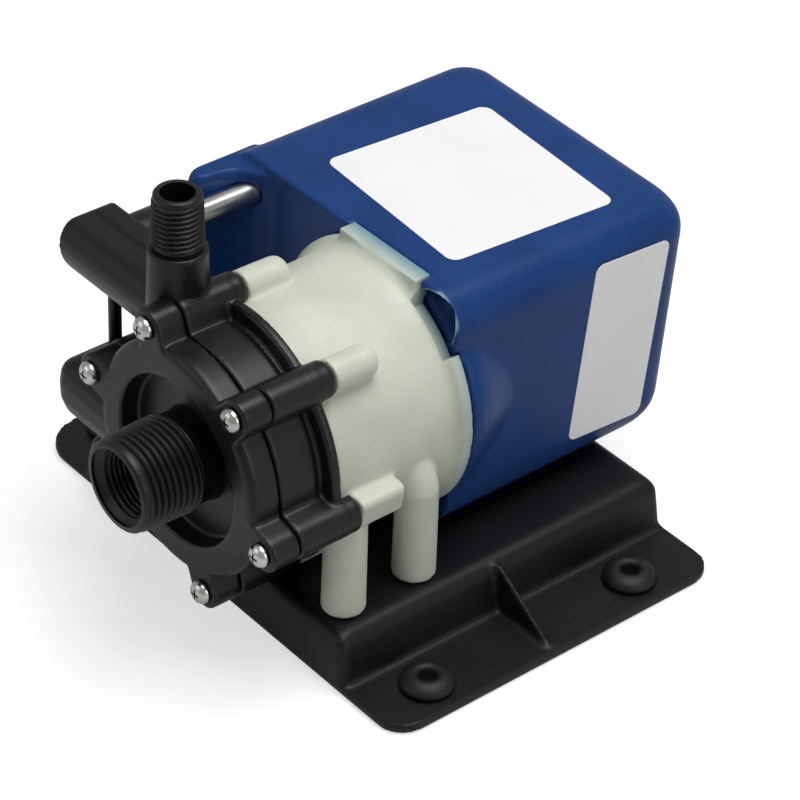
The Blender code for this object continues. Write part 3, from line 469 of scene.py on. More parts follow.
def bracket():
    """Collar with rim and back wall, six screw bosses, four posts and the tab."""
    shape = bmesh.new()
    profile = [
        (27.6, 24.6), (32.6, 24.6), (33.1, 25.1), (33.3, 30.0), (33.9, 58.0), (34.3, 60.4),
        (35.2, 61.8), (36.2, 62.5), (36.5, 63.2), (36.5, 65.4), (9.4, 65.4), (9.4, 61.6),
        (5.3, 61.6), (5.3, 60.1), (27.6, 60.1)]
    lathe(shape, profile, head(0, 0, 0), BACK, RIGHT, 160, closed=True)
    boss_near, boss_far, boss_half, wall_radius = 28.4, 41.0, 4.4, 31.6
    square_boss = 2
    for number, degrees in enumerate(SCREWS):
        x, up = on_circle(SCREW_CIRCLE, degrees)
        inner_x, inner_up = on_circle(wall_radius, degrees)
        if number == square_boss:
            # The boss over the right posts is square.
            corners = [(29.8, -11.4), (37.6, -11.4), (39.0, -3.2), (31.5, -2.0)]
            outline = rounded(corners, (1.2, 1.6, 1.6, 1.2), 5)
            loft(shape, [[head(u, station, v) for u, v in outline]
                         for station in (boss_near, boss_far + 0.8)])
            continue
        rings = []
        for station, radius in ((boss_near, 4.55), (39.6, 4.4), (boss_far, 4.1), (42.0, 3.2),
                                (42.5, 1.6)):
            rings.append(circle(head(x, station, up), RIGHT, UP, radius, 32))
        loft(shape, rings)
        # A web as wide as the boss ties it to the collar.
        across = math.radians(degrees + 90)
        wide = Vector((math.cos(across), 0, math.sin(across))) * boss_half * MM
        near, far = head(inner_x, boss_near, inner_up), head(inner_x, boss_far, inner_up)
        tip_near, tip_far = head(x, boss_near, up), head(x, boss_far, up)
        loft(shape, [[near - wide, near + wide, tip_near + wide, tip_near - wide],
                     [far - wide, far + wide, tip_far + wide, tip_far - wide]])
    # Each post leans into the collar at its top.
    post = ((POST_X, POST_FOOT, 5.75), (POST_X, -20.0, 5.6), (POST_X, -11.5, 5.5),
            (POST_X - 0.9, -7.5, 5.0), (POST_X - 3.1, -2.0, 4.2))
    for side in (1, -1):
        for station in POST_STATIONS:
            loft(shape, [circle(head(side * x, station, up), RIGHT, BACK, radius, 48)
                         for x, up, radius in post])
    tab = [(-TAB_HALF, TAB_LOW), (TAB_HALF, TAB_LOW), (TAB_HALF, TAB_HIGH),
           (-TAB_HALF, TAB_HIGH)]
    loft(shape, [[head(u, station, v) for u, v in tab] for station in (62.6, 67.9)])
    return shape


piece = mesh_object("pump_bracket_skin", bracket())
mould(piece, 0.60, 4)
# Beside the tab the rim is left out, from its end down the right side to the tab's.
gap_start, gap_low, gap_high, gap_inner, gap_outer = 35.4, 62.0, 67.2, 32.2, 39.0
shape = bmesh.new()
gap = [on_circle(gap_inner, gap_start + (gap_low - gap_start) * k / 12) for k in range(13)]
gap += [on_circle(gap_outer, gap_high - (gap_high - gap_start) * k / 12) for k in range(13)]
loft(shape, [[head(x, station, up) for x, up in gap] for station in (61.0, 66.8)])
combine(piece, mesh_object("rim_gap", shape))
shade(piece, 50.0)


def pale_material():
    material = grained("pale_plastic", (0.61, 0.64, 0.54), 0.44, size=2400.0, tone=0.09,
                       spread=0.10, bump=0.85, dust=0.16)
    nodes, links = material.node_tree.nodes, material.node_tree.links
    shader = nodes["Principled BSDF"]
    shader.inputs["Subsurface Weight"].default_value = 0.35
    shader.inputs["Subsurface Scale"].default_value = 0.0025
    shader.inputs["Subsurface Radius"].default_value = (1.0, 1.0, 0.7)
    # The blue block shines through the thin rim at the collar's back.
    where = nodes.new("ShaderNodeTexCoord")
    split = nodes.new("ShaderNodeSeparateXYZ")
    links.new(where.outputs["Object"], split.inputs[0])
    ramp = nodes.new("ShaderNodeMapRange")
    ramp.inputs["From Min"].default_value = FACE.y + 61.6 * MM
    ramp.inputs["From Max"].default_value = FACE.y + 67.5 * MM
    links.new(split.outputs["Y"], ramp.inputs["Value"])
    mix = nodes.new("ShaderNodeMix")
    mix.data_type = "RGBA"
    mix.inputs["B"].default_value = (0.13, 0.30, 0.38, 1.0)
    old = shader.inputs["Base Color"].links[0].from_socket
    links.new(ramp.outputs["Result"], mix.inputs["Factor"])
    links.new(old, mix.inputs["A"])
    links.new(mix.outputs["Result"], shader.inputs["Base Color"])
    return material


finish_piece(piece, "pump", pale_material(), ["pump_bracket"])

# Motor block.
# Semi-gloss blue casting resin poured round the motor: a leaning right side, a
# wing at the left that guards the cooling tube, and a boss behind the collar.
SIDE_FOOT_X, SIDE_LEAN, SIDE_TAPER = 27.5, 0.030, 0.008
FOOT_UP, FRONT_STATION = -38.94, 65.8
BACK_STATION, BACK_TURN, BACK_LEAN = 148.4, 0.028, 0.040
POCKET_X, POCKET_UP, POCKET_R = 21.0, 27.6, 7.7
TUBE_X, TUBE_UP = -53.0, 26.4


def side_x(up, station):
    """The right side leans outwards upwards and tapers inwards to the back."""
    return SIDE_FOOT_X + SIDE_LEAN * (up - FOOT_UP) - SIDE_TAPER * (station - FRONT_STATION)


def back_station(x, up):
    """The back is turned a little, and leans back upwards."""
    return BACK_STATION - BACK_TURN * (x + 63.5) - BACK_LEAN * (36.0 - up)


def pocket_floor(x, up):
    """The pocket's floor is shallow beside the collar and deep at its outer wall."""
    slope_start, slope_run, shallow, drop = 33.4, 3.4, 66.3, 3.6
    deep = min(max((math.hypot(x, up) - slope_start) / slope_run, 0.0), 1.0)
    return shallow + drop * deep * deep * (3 - 2 * deep)


def motor_block():
    """The cast block: a body with rounded edges, the wing and the boss, then its holes."""
    low, high = -38.84, 35.95
    left, front, step_back = -63.4, 64.1, 65.75
    step_x, step_up = 15.2, 14.0
    rings = []
    right_edge, top_edge, low_edge = 11.0, 8.6, 13.5

    def drawn_in(up, radius, level):
        """How far a rounded edge draws a side in near a level."""
        depth = max(radius - abs(level - up), 0.0)
        return radius - math.sqrt(max(radius ** 2 - depth ** 2, 0.0))

    levels = [low + low_edge * (1 - math.cos(math.pi / 2 * k / 8)) for k in range(9)]
    levels.append(0.0)
    levels += [high - right_edge + right_edge * math.sin(math.pi / 2 * k / 9)
               for k in range(10)]
    for up in levels:
        foot = drawn_in(up, low_edge, low)
        right_pull = foot + drawn_in(up, right_edge, high)
        left_pull = drawn_in(up, top_edge, high)
        back_pull = foot + left_pull
        side = side_x(up, 140.0) - right_pull
        corners = [(side_x(up, front) - right_pull, front),
                   (side, back_station(side, up) - back_pull),
                   (left + left_pull, back_station(left, up) - back_pull),
                   (left + left_pull, front)]
        outline = rounded(corners, (0.4, 8.5 + left_pull * 0.35, 9.0 - left_pull * 0.4, 0.8), 8)
        rings.append([head(x, station, up) for x, station in outline])
    shape = bmesh.new()
    loft(shape, rings)
    block = mesh_object("motor_block", shape)
    # Only the corner beside the tab reaches this far forward.
    shape = bmesh.new()
    for room in ([(-80, -60), (step_x, -60), (step_x, 60), (-80, 60)],
                 [(step_x - 0.2, -60), (50, -60), (50, step_up), (step_x - 0.2, step_up)]):
        loft(shape, [[head(x, station, up) for x, up in room]
                     for station in (50.0, step_back)])
    combine(block, mesh_object("front_room", shape), crossing=True)
    # The wing stands forward at the left, with a round front end and top edge.
    shape = bmesh.new()
    wing = [
        (-63.3, 74.0), (-63.3, 53.5), (-62.7, 51.2), (-61.2, 49.6), (-59.3, 49.4),
        (-57.7, 50.6), (-57.0, 53.0), (-56.3, 57.0), (-54.6, 60.6), (-51.6, 63.4),
        (-47.6, 65.2), (-43.0, 66.1), (-41.0, 74.0)]
    rings = []
    centre = Vector((-57.0, 62.0))
    for up, pull in ((low, 0), (30.5, 0), (32.4, 0.5), (33.5, 1.6)):
        ring = []
        for x, station in wing:
            spot = Vector((x, station))
            if pull:
                spot += (centre - spot).normalized() * pull
            ring.append(head(spot.x, spot.y, up))
        rings.append(ring)
    loft(shape, rings)
    boss = [(35.8, 66.2), (35.8, 69.5), (34.6, 73.0), (31.8, 78.5), (27.0, 88.0),
            (22.0, 98.0)]
    lathe(shape, boss, head(0, 0, 0), BACK, RIGHT, 128)
    combine(block, mesh_object("extra", shape), "UNION", crossing=True)
    # Inside: the rotor's cavity and the room for the coil.
    shape = bmesh.new()
    lathe(shape, [(20.8, 60.0), (20.8, 121.2), (8.4, 121.2), (8.4, 131.6)],
          head(0, 0, 0), BACK, RIGHT, 64)
    combine(block, mesh_object("cavity", shape))
    shape = bmesh.new()
    room = [(-55.2, -19.2), (-1.0, -19.2), (-1.0, 19.2), (-55.2, 19.2)]
    loft(shape, [[head(x, station, up) for x, up in room] for station in (71.8, 128.2)])
    combine(block, mesh_object("coil_room", shape))
    # Outside: the tab's slot, and the holes for the cooling tube and the lead.
    shape = bmesh.new()
    slot_half, slot_low = TAB_HALF + 0.2, TAB_LOW - 1.5
    slot = [(-slot_half, slot_low), (slot_half, slot_low), (slot_half, 41.0),
            (-slot_half, 41.0)]
    loft(shape, [[head(x, station, up) for x, up in slot] for station in (60.0, 68.1)])
    combine(block, mesh_object("tab_slot", shape))
    shape = bmesh.new()
    lathe(shape, [(3.55, 55.0), (3.55, 92.0)], head(TUBE_X, 0, TUBE_UP), BACK, RIGHT, 32)
    combine(block, mesh_object("tube_hole", shape))
    shape = bmesh.new()
    lathe(shape, [(3.5, -70.0), (3.5, -54.0)], head(0, 112, 0), RIGHT, BACK, 32)
    combine(block, mesh_object("lead_hole", shape))
    mould(block, 0.80, 3)
    # The rim lies in a round seat; beside the tab the seat opens into a pocket whose
    # outer wall runs out into a thin lip.
    shape = bmesh.new()
    lathe(shape, [(36.7, 55.0), (36.7, step_back + 0.15)], head(0, 0, 0), BACK, RIGHT, 128)
    combine(block, mesh_object("rim_seat", shape))
    shape = bmesh.new()
    rings = []
    for radius, level in ((POCKET_R, 58.0), (POCKET_R, 64.4), (7.5, 65.2), (6.8, None),
                          (5.4, None), (4.0, None), (2.4, None), (0.6, None)):
        ring = []
        for k in range(64):
            x, up = on_circle(radius, 360.0 * k / 64)
            x, up = POCKET_X + x, POCKET_UP + up
            ring.append(head(x, level or pocket_floor(x, up), up))
        rings.append(ring)
    loft(shape, rings)
    combine(block, mesh_object("pocket", shape))
    shade(block, 60.0)
    return block


def epoxy_material():
    """Blue resin with fine dust in it, and a painted highlight: a pale line along the pocket's
    lip.
    """
    material = grained("blue_epoxy", (0.010, 0.046, 0.182), 0.36, size=700.0, tone=0.12,
                       spread=0.14, bump=0.18, dust=0.20, specular=0.14)
    nodes, links = material.node_tree.nodes, material.node_tree.links
    shader = nodes["Principled BSDF"]
    shader.inputs["Coat Weight"].default_value = 0.05
    shader.inputs["Coat Roughness"].default_value = 0.20
    where = nodes.new("ShaderNodeTexCoord")

    def from_axis(centre):
        """Distance from a line through centre that runs front to back."""
        shift = nodes.new("ShaderNodeVectorMath")
        shift.operation = "SUBTRACT"
        shift.inputs[1].default_value = centre
        flat = nodes.new("ShaderNodeVectorMath")
        flat.operation = "MULTIPLY"
        flat.inputs[1].default_value = (1.0, 0.0, 1.0)
        length = nodes.new("ShaderNodeVectorMath")
        length.operation = "LENGTH"
        links.new(where.outputs["Object"], shift.inputs[0])
        links.new(shift.outputs["Vector"], flat.inputs[0])
        links.new(flat.outputs["Vector"], length.inputs[0])
        return length.outputs["Value"]

    def fade(socket, start, end, high=1.0):
        """A mask that falls from high to nothing between two values."""
        step = nodes.new("ShaderNodeMapRange")
        step.inputs["From Min"].default_value = start
        step.inputs["From Max"].default_value = end
        step.inputs["To Min"].default_value = high
        step.inputs["To Max"].default_value = 0.0
        links.new(socket, step.inputs["Value"])
        return step.outputs["Result"]

    # Painted highlight: a pale line along the edge of the pocket's thin lip, near the front
    # face.
    split = nodes.new("ShaderNodeSeparateXYZ")
    links.new(where.outputs["Object"], split.inputs[0])
    painted_highlight_band = fade(from_axis(head(POCKET_X, 0, POCKET_UP)), (POCKET_R + 0.05) * MM,
                  (POCKET_R + 0.40) * MM)
    front = fade(split.outputs["Y"], FACE.y + 65.0 * MM, FACE.y + 66.0 * MM, 0.6)
    lip = nodes.new("ShaderNodeMath")
    lip.operation = "MULTIPLY"
    links.new(painted_highlight_band, lip.inputs[0])
    links.new(front, lip.inputs[1])
    # Mix the painted highlight's pale blue into the resin colour along the lip.
    mix = nodes.new("ShaderNodeMix")
    mix.data_type = "RGBA"
    mix.inputs["B"].default_value = (0.30, 0.50, 0.62, 1.0)
    links.new(lip.outputs[0], mix.inputs["Factor"])
    links.new(shader.inputs["Base Color"].links[0].from_socket, mix.inputs["A"])
    links.new(mix.outputs["Result"], shader.inputs["Base Color"])
    return material


EPOXY = epoxy_material()
finish_piece(motor_block(), "pump", EPOXY, ["motor_housing"])

# Labels.
# White film stuck on the block's top and on its right side, left blank here. The
# top one sits a few degrees askew.
FILM = grained("label_film", (0.92, 0.92, 0.93), 0.38, size=500.0, tone=0.015,
               spread=0.06, bump=0.03)
FILM_THICK = 0.12


def sticker(name, centre, along, across, width, height, corner):
    """A thin rounded sheet; along and across are its edges' directions."""
    out = along.cross(across).normalized()
    corners = [(width / 2, -height / 2), (width / 2, height / 2),
               (-width / 2, height / 2), (-width / 2, -height / 2)]
    outline = rounded(corners, (corner,) * 4)
    shape = bmesh.new()
    loft(shape, [[centre + (along * u + across * v + out * w) * MM for u, v in outline]
                 for w in (0.0, FILM_THICK)])
    return mesh_object(name, shape)


turn = Matrix.Rotation(math.radians(-4.2), 3, "Z")
top = sticker("top_sticker", head(-11.8, 103.2, 36.02), turn @ RIGHT, turn @ BACK,
              55.7, 51.7, 3.0)
finish_piece(top, "pump", FILM, ["top_label"])
# The side one lies on the leaning side, in its plane.
side_station, side_up = 122.0, 0.4
along = Vector((-SIDE_TAPER, 1, 0)).normalized()
out = along.cross(Vector((SIDE_LEAN, 0, 1))).normalized()
along = Matrix.Rotation(math.radians(-4.0), 3, out) @ along
centre = head(side_x(side_up, side_station), side_station, side_up) + out * 0.02 * MM
side = sticker("side_sticker", centre, along, out.cross(along), 25.9, 54.8, 2.6)
finish_piece(side, "pump", FILM, ["side_label"])

# Volute casing.
# Black glass-filled plastic: the ring round the impeller, six screw ears, the
# threaded outlet and the high chamber that feeds the cooling tube.
BLACK = grained("black_plastic", (0.0045, 0.0045, 0.0055), 0.36, size=1800.0, bump=0.45,
                spread=0.16, dust=0.14, specular=0.36)


def ear(shape, degrees, boss_radius, root_radius, root_half, near, far):
    """A screw ear: a round boss with a web to the wall, softened at both ends."""
    x, up = on_circle(SCREW_CIRCLE, degrees)
    rings = []
    for station, pull in near + far:
        ring = [on_circle(root_radius, degrees - root_half)]
        for k in range(17):
            ax, ay = on_circle(boss_radius - pull, degrees - 90.0 + 180.0 * k / 16)
            ring.append((x + ax, up + ay))
        ring.append(on_circle(root_radius, degrees + root_half))
        rings.append([head(u, station, v) for u, v in ring])
    loft(shape, rings)


def helix(shape, origin, along, side, outer, inner, low, high, steps=96, mouth=0.0):
    """A tube wall whose outside and inside carry pipe threads.

    outer and inner are (radius at low, taper, depth, pitch, start, end). The bore
    widens by the mouth's depth near its end.
    """
    up = along.cross(side)

    def radius(spec, height, turn_part):
        base, taper, depth, pitch, start, end = spec
        here = base - taper * (height - low)
        if spec is inner and mouth:
            here += mouth * min(max((height - high + 2.4) / 1.3, 0.0), 1.0)
        if not depth:
            return here
        phase = (height / pitch - turn_part) % 1.0
        ridge = 1.0 - abs(2.0 * phase - 1.0)
        ridge = min(max((ridge - 0.10) / 0.80, 0.0), 1.0)
        fade = min(max((height - start) / pitch, 0.0), 1.0) \
            * min(max((end - height) / (0.7 * pitch), 0.0), 1.0)
        plain = 0.9 if height < (start + end) / 2 else 0.35
        if height > high - 0.5:
            plain += (height - high + 0.5) * 0.9
        return here - depth * (1.0 - ridge) * fade - depth * (1.0 - fade) * plain

    rows = max(int((high - low) / min(outer[3], inner[3] or 9.0) * 10), 8)
    heights = [low + (high - low) * k / rows for k in range(rows + 1)]
    rings = []
    for spec, levels in ((outer, heights), (inner, list(reversed(heights)))):
        for height in levels:
            ring = []
            for i in range(steps):
                a = math.tau * i / steps
                r = radius(spec, height, i / steps)
                ring.append(origin + (along * height + (side * math.cos(a)
                                      + up * math.sin(a)) * r) * MM)
            rings.append(ring)
    loft(shape, rings, closed=True)


def add_threads(thing, *sizes, **options):
    """Add a threaded tube wall to a finished moulding, as part of its mesh."""
    wall = bmesh.new()
    helix(wall, *sizes, **options)
    bmesh.ops.recalc_face_normals(wall, faces=wall.faces)
    mesh = bpy.data.meshes.new("threads")
    wall.to_mesh(mesh)
    wall.free()
    whole = bmesh.new()
    whole.from_mesh(thing.data)
    whole.from_mesh(mesh)
    whole.to_mesh(thing.data)
    whole.free()
    bpy.data.meshes.remove(mesh)


# The outlet stands on the casing, left of the pump axis.
OUTLET_X, OUTLET_STATION, OUTLET_BORE = -16.7, 13.6, 4.4
PIPE_TAPER = 1 / 32
EAR_HALF_ANGLE = 10.5


def volute():
    """Ring, flange, ears, high chamber and the outlet's plain neck."""
    shape = bmesh.new()
    profile = [
        (27.5, 8.55), (31.4, 8.55), (31.65, 8.8), (31.65, 19.4), (31.0, 20.1), (31.0, 20.9),
        (31.6, 21.4), (34.6, 21.4), (35.3, 21.8), (35.5, 22.6), (35.5, 24.1),
        (30.2, 24.1), (30.2, 22.2), (27.5, 22.2)]
    lathe(shape, profile, head(0, 0, 0), BACK, RIGHT, 160, closed=True)
    for degrees in SCREWS:
        ear(shape, degrees, 5.1, 28.8, EAR_HALF_ANGLE, [(8.55, 0.15), (8.8, 0)],
            [(23.9, 0), (24.1, 0.1)])
        ear(shape, degrees, 5.0, 33.9, 7.5, [(23.6, 0)], [(26.9, 0), (27.6, 0.3), (27.9, 0.9)])
    lobe = [
        (26.2, 33.6), (14.2, 33.6), (12.7, 33.3), (11.4, 32.3), (10.2, 30.6), (9.6, 28.8),
        (9.4, 26.6), (9.9, 24.0), (10.9, 21.6), (12.4, 19.4), (14.4, 17.6), (17.2, 16.4),
        (20.5, 16.6), (23.3, 18.6), (25.3, 21.6), (26.2, 25.0)]
    loft(shape, [[head(x, station, up) for station, up in lobe] for x in (-61.8, -37.6)])
    plate = rounded([(20.2, -60.4), (26.0, -60.4), (26.0, -34.0), (20.2, -34.0)],
                    (0.6,) * 4, 3)
    loft(shape, [[head(x, station, up) for station, x in plate] for up in (33.0, 34.3)])
    # Nearer the outlet the chamber is less deep.
    inner = [(min(station, 24.0), up) for station, up in lobe]
    inner = [point for i, point in enumerate(inner) if i != 14]
    loft(shape, [[head(x, station, up) for station, up in inner] for x in (-38.4, -19.0)])
    neck = [(OUTLET_BORE, 20.0), (8.3, 20.0), (7.62, 49.0), (7.4, 49.3), (6.2, 49.3),
            (OUTLET_BORE, 49.3)]
    lathe(shape, neck, head(OUTLET_X, OUTLET_STATION, 0), UP, RIGHT, 96, closed=True)
    return shape


casing = mesh_object("volute_skin", volute())
mould(casing, 0.48, 3)
add_threads(casing, head(OUTLET_X, OUTLET_STATION, 0), UP, RIGHT,
            (6.86, PIPE_TAPER, 0.85, 1.411, 49.6, 63.6), (OUTLET_BORE, 0, 0, 0, 0, 0),
            48.6, 64.6)
shade(casing, 70.0)
finish_piece(casing, "pump", BLACK, ["volute_casing"])

# Front cover.
# Black glass-filled plastic, screwed over the volute: the threaded inlet stands
# in a deep ring recess, and the low chamber joins it at the left.
CHAMBER_LEFT, CHAMBER_ROUND = -53.0, 5.0


def cover():
    """Face ring with its recess, ears, and the low chamber with a rounded end."""
    shape = bmesh.new()
    profile = [
        (12.0, 5.8), (22.2, 5.8), (22.8, 5.2), (22.8, 0.5), (23.2, 0.05), (29.4, 0.05),
        (30.5, 0.45), (31.2, 1.2), (31.5, 2.2), (31.5, 8.1), (12.0, 8.1)]
    lathe(shape, profile, head(0, 0, 0), BACK, RIGHT, 160, closed=True)
    for degrees in SCREWS:
        ear(shape, degrees, 5.0, 27.6, 11.0, [(0.05, 0.35), (0.4, 0)],
            [(7.9, 0), (8.1, 0.15)])
    lobe = [
        (4.2, 0.7), (2.4, 0.1), (1.0, -1.7), (0.3, -5.4), (0.5, -10.2), (2.0, -14.2),
        (5.8, -17.9), (11.0, -20.2), (17.0, -19.2), (21.8, -14.8), (23.8, -8.0),
        (23.2, -1.2), (21.3, 0.7)]
    middle = Vector((12.0, -8.6))
    rings = []
    for k in range(7):
        a = math.pi / 2 * k / 6
        pull = CHAMBER_ROUND * (1 - math.sin(a))
        x = CHAMBER_LEFT + CHAMBER_ROUND * (1 - math.cos(a))
        ring = []
        for station, up in lobe:
            spot = Vector((station, up))
            spot += (middle - spot).normalized() * pull
            ring.append(head(x, spot.x, spot.y))
        rings.append(ring)
    rings.append([head(-37.0, station, up) for station, up in lobe])
    loft(shape, rings)
    # Towards the ring the chamber is no deeper than the cover.
    root = lobe[:7] + [(8.1, -19.0), (8.1, 0.7)]
    loft(shape, [[head(x, station, up) for station, up in root] for x in (-38.0, -25.5)])
    return shape


lid = mesh_object("cover_skin", cover())
mould(lid, 0.48, 3)
add_threads(lid, head(0, 0, 0), -BACK, RIGHT,
            (13.33, PIPE_TAPER, 1.15, 1.814, -0.6, 16.2), (9.4, 0, 0.9, 1.411, 2.0, 15.4),
            -6.6, 17.6, steps=128, mouth=1.7)
shade(lid, 70.0)
finish_piece(lid, "pump", BLACK, ["front_cover"])

# Cover screws.
# Six stainless pan head screws with a cross recess, through cover and casing into
# the bracket's bosses.
STEEL = grained("stainless", (0.60, 0.59, 0.57), 0.24, size=3000.0, tone=0.08,
                spread=0.12, bump=0.08, metallic=1.0)
shape = bmesh.new()
screw_profile = [
    (0.9, -2.6), (1.7, -2.47), (2.4, -2.1), (2.9, -1.5), (3.15, -0.9), (3.15, -0.5),
    (1.65, -0.45), (1.65, 34.0), (0.4, 35.8)]
lathe(shape, screw_profile, Vector((0, 0, 0)), BACK, RIGHT, 40)
source = mesh_object("screw_source", shape)
cross_long, cross_short = 1.75, 0.34
shape = bmesh.new()
for wide, high in ((cross_long, cross_short), (cross_short, cross_long)):
    loft(shape, [[Vector((u, level, v)) * MM for u, v in
                  ((-wide * k, -high * k), (wide * k, -high * k), (wide * k, high * k),
                   (-wide * k, high * k))] for level, k in ((-4.0, 1.0), (-1.3, 0.7))])
combine(source, mesh_object("cross", shape), crossing=True)
spots = []
for degrees in SCREWS:
    x, up = on_circle(SCREW_CIRCLE, degrees)
    spots.append(head(x, 0, up))
screws = repeat_mesh("cover_screws", source, spots, STEEL)
shade(screws, 40.0)
finish_piece(screws, "pump", STEEL, [f"cover_screw_{i}" for i in range(1, 7)])

# Cooling line.
# A black coupling pushed into the high chamber, a bright stainless tube into the
# block, and a thin black tube between the two chambers.
def turned(name, profile, origin, along, steps):
    """A hollow turned piece with crisp ends."""
    shape = bmesh.new()
    lathe(shape, profile, origin, along, RIGHT, steps, closed=True)
    thing = mesh_object(name, shape)
    shade(thing, 40.0)
    return thing


coupling_profile = [
    (3.5, 20.4), (3.9, 20.4), (3.9, 26.4), (5.9, 26.4), (6.4, 26.9), (6.4, 35.6),
    (6.1, 36.3), (5.4, 36.7), (3.5, 36.7)]
coupling = turned("coupling", coupling_profile, head(TUBE_X, 0, TUBE_UP + 0.2), BACK, 64)
finish_piece(coupling, "pump", BLACK, ["tube_coupling"])
tube_profile = [(3.4, 21.2), (3.4, 89.8), (2.7, 89.8), (2.7, 21.2)]
tube = turned("tube", tube_profile, head(TUBE_X, 0, TUBE_UP), BACK, 64)
finish_piece(tube, "pump", STEEL, ["cooling_tube"])
crossover_profile = [(1.75, -3.9), (1.75, 19.8), (1.0, 19.8), (1.0, -3.9)]
crossover_middle = middle_of("crossover_tube")
crossover_axis = world_point(crossover_middle.x, crossover_middle.y, FACE.z / MM)
crossover = turned("crossover", crossover_profile, crossover_axis, UP, 48)
finish_piece(crossover, "pump", BLACK, ["crossover_tube"])

# Inner pieces and small fasteners kept from the CAD.
# Seal, cup, spindle, impeller, magnets, shaft, rotor, bearings, stator, coil, the
# lead bushing and the screws under the platform.
MAGNET = grained("magnet", (0.09, 0.09, 0.10), 0.45, size=1800.0, bump=0.4, metallic=0.5)
CERAMIC = grained("ceramic", (0.76, 0.74, 0.68), 0.30, size=2500.0, tone=0.03, bump=0.05)
SHEET = grained("lamination", (0.20, 0.21, 0.23), 0.42, size=1500.0, bump=0.3,
                metallic=0.9)
COPPER = grained("copper", (0.55, 0.25, 0.11), 0.35, size=1200.0, bump=0.3, metallic=0.9)
BRONZE = grained("bronze", (0.50, 0.34, 0.15), 0.38, size=2400.0, bump=0.3, metallic=0.9)
kept = {
    "casing_o_ring": RUBBER, "containment_cup": BLACK, "spindle": CERAMIC,
    "front_thrust_washer": CERAMIC, "rear_thrust_washer": CERAMIC, "impeller": BLACK,
    "impeller_magnet": MAGNET, "impeller_bushing": CERAMIC, "drive_magnet": MAGNET,
    "drive_cup": SHEET, "motor_shaft": STEEL, "rotor": SHEET, "front_bearing": BRONZE,
    "rear_bearing": BRONZE, "stator_core": SHEET, "stator_coil": COPPER,
    "cable_gland": RUBBER, "base_screw_1": STEEL, "base_screw_2": STEEL,
    "base_screw_3": STEEL, "base_screw_4": STEEL}
for name, material in kept.items():
    node = frame["nodes"][name]
    node.data.materials.clear()
    node.data.materials.append(material)

# Studio.
# A pale floor that the camera sees as white, a soft box overhead and one at each
# side, and the photo's own viewpoint through a long lens.
floor_half = 6.0
floor_ring = [(-floor_half, -floor_half), (floor_half, -floor_half),
              (floor_half, floor_half), (-floor_half, floor_half)]
shape = bmesh.new()
shape.faces.new([shape.verts.new(Vector((x, y, 0.0))) for x, y in floor_ring])
floor = mesh_object("floor", shape)
paper = bpy.data.materials.new("paper")
paper.use_nodes = True
surface = paper.node_tree.nodes["Principled BSDF"]
surface.inputs["Base Color"].default_value = (0.55, 0.55, 0.55, 1)
surface.inputs["Roughness"].default_value = 0.9


def background_strength(tree, plain, white):
    """A strength that rises from plain to white for the camera, and partly in gloss."""
    nodes, links = tree.nodes, tree.links
    path = nodes.new("ShaderNodeLightPath")
    glossy = nodes.new("ShaderNodeMath")
    glossy.operation = "MULTIPLY"
    glossy.inputs[1].default_value = 0.25
    seen = nodes.new("ShaderNodeMath")
    seen.operation = "MAXIMUM"
    strength = nodes.new("ShaderNodeMapRange")
    strength.inputs["To Min"].default_value = plain
    strength.inputs["To Max"].default_value = white
    links.new(path.outputs["Is Glossy Ray"], glossy.inputs[0])
    links.new(path.outputs["Is Camera Ray"], seen.inputs[0])
    links.new(glossy.outputs[0], seen.inputs[1])
    links.new(seen.outputs[0], strength.inputs["Value"])
    return strength.outputs["Result"]


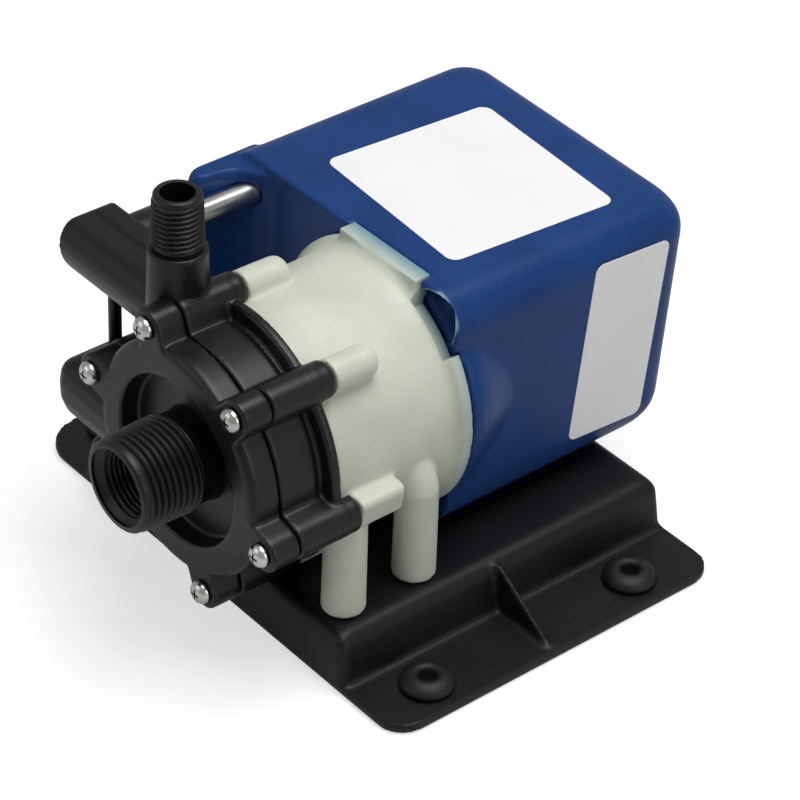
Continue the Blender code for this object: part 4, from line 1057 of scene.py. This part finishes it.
surface.inputs["Emission Color"].default_value = (1, 1, 1, 1)
paper.node_tree.links.new(background_strength(paper.node_tree, 0.0, 0.62),
                          surface.inputs["Emission Strength"])
floor.data.materials.append(paper)
floor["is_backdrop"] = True

world = bpy.data.worlds.new("studio")
bpy.context.scene.world = world
world.use_nodes = True
sky = world.node_tree.nodes["Background"]
sky.inputs["Color"].default_value = (1, 1, 1, 1)
world.node_tree.links.new(background_strength(world.node_tree, 0.16, 1.0),
                          sky.inputs["Strength"])


def soft_box(name, place, target, size_x, size_y, power):
    """A rectangular area lamp that faces its target."""
    lamp = bpy.data.lights.new(name, "AREA")
    lamp.shape = "RECTANGLE"
    lamp.size = size_x
    lamp.size_y = size_y
    lamp.energy = power
    thing = bpy.data.objects.new(name, lamp)
    thing.location = place
    thing.rotation_mode = "QUATERNION"
    thing.rotation_quaternion = (target - place).to_track_quat("-Z", "Y")
    bpy.context.scene.collection.objects.link(thing)
    thing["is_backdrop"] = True


middle = Vector((0, 0, 0.05))
soft_box("overhead", Vector((0.15, 0.10, 0.95)), middle, 0.7, 0.6, 7.4)
soft_box("right", Vector((0.95, 0.15, 0.40)), middle, 0.35, 0.6, 1.3)
soft_box("left", Vector((-0.35, -0.85, 0.55)), middle, 0.7, 0.7, 1.3)

# The viewpoint, fitted to the photo: a long lens, its distance and its shift aside.
azimuth, elevation, roll = (math.radians(v) for v in (48.873, 36.317, 2.498))
focal_pixels, picture_width, sensor_width = 3375.8, 800.0, 36.0
distance, aside, above = 856.46, 56.97, 53.83
back = Vector((math.sin(azimuth) * math.cos(elevation),
               -math.cos(azimuth) * math.cos(elevation), math.sin(elevation)))
right = Vector((math.cos(azimuth), math.sin(azimuth), 0))
up = back.cross(right)
lens_right = right * math.cos(roll) + up * math.sin(roll)
lens_up = up * math.cos(roll) - right * math.sin(roll)
camera = bpy.data.cameras.new("camera")
camera.sensor_width = sensor_width
camera.lens = focal_pixels * sensor_width / picture_width
camera.clip_start, camera.clip_end = 0.05, 20.0
viewer = bpy.data.objects.new("camera", camera)
bpy.context.scene.collection.objects.link(viewer)
place = (back * distance + lens_right * aside + lens_up * above) * MM
place += Vector((FACE.x, FACE.y, 8.253 * MM))
viewer.matrix_world = Matrix.Translation(place) @ Matrix(
    (lens_right, lens_up, back)).transposed().to_4x4()
bpy.context.scene.camera = viewer
bpy.context.scene.view_settings.view_transform = "Standard"

low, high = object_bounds()
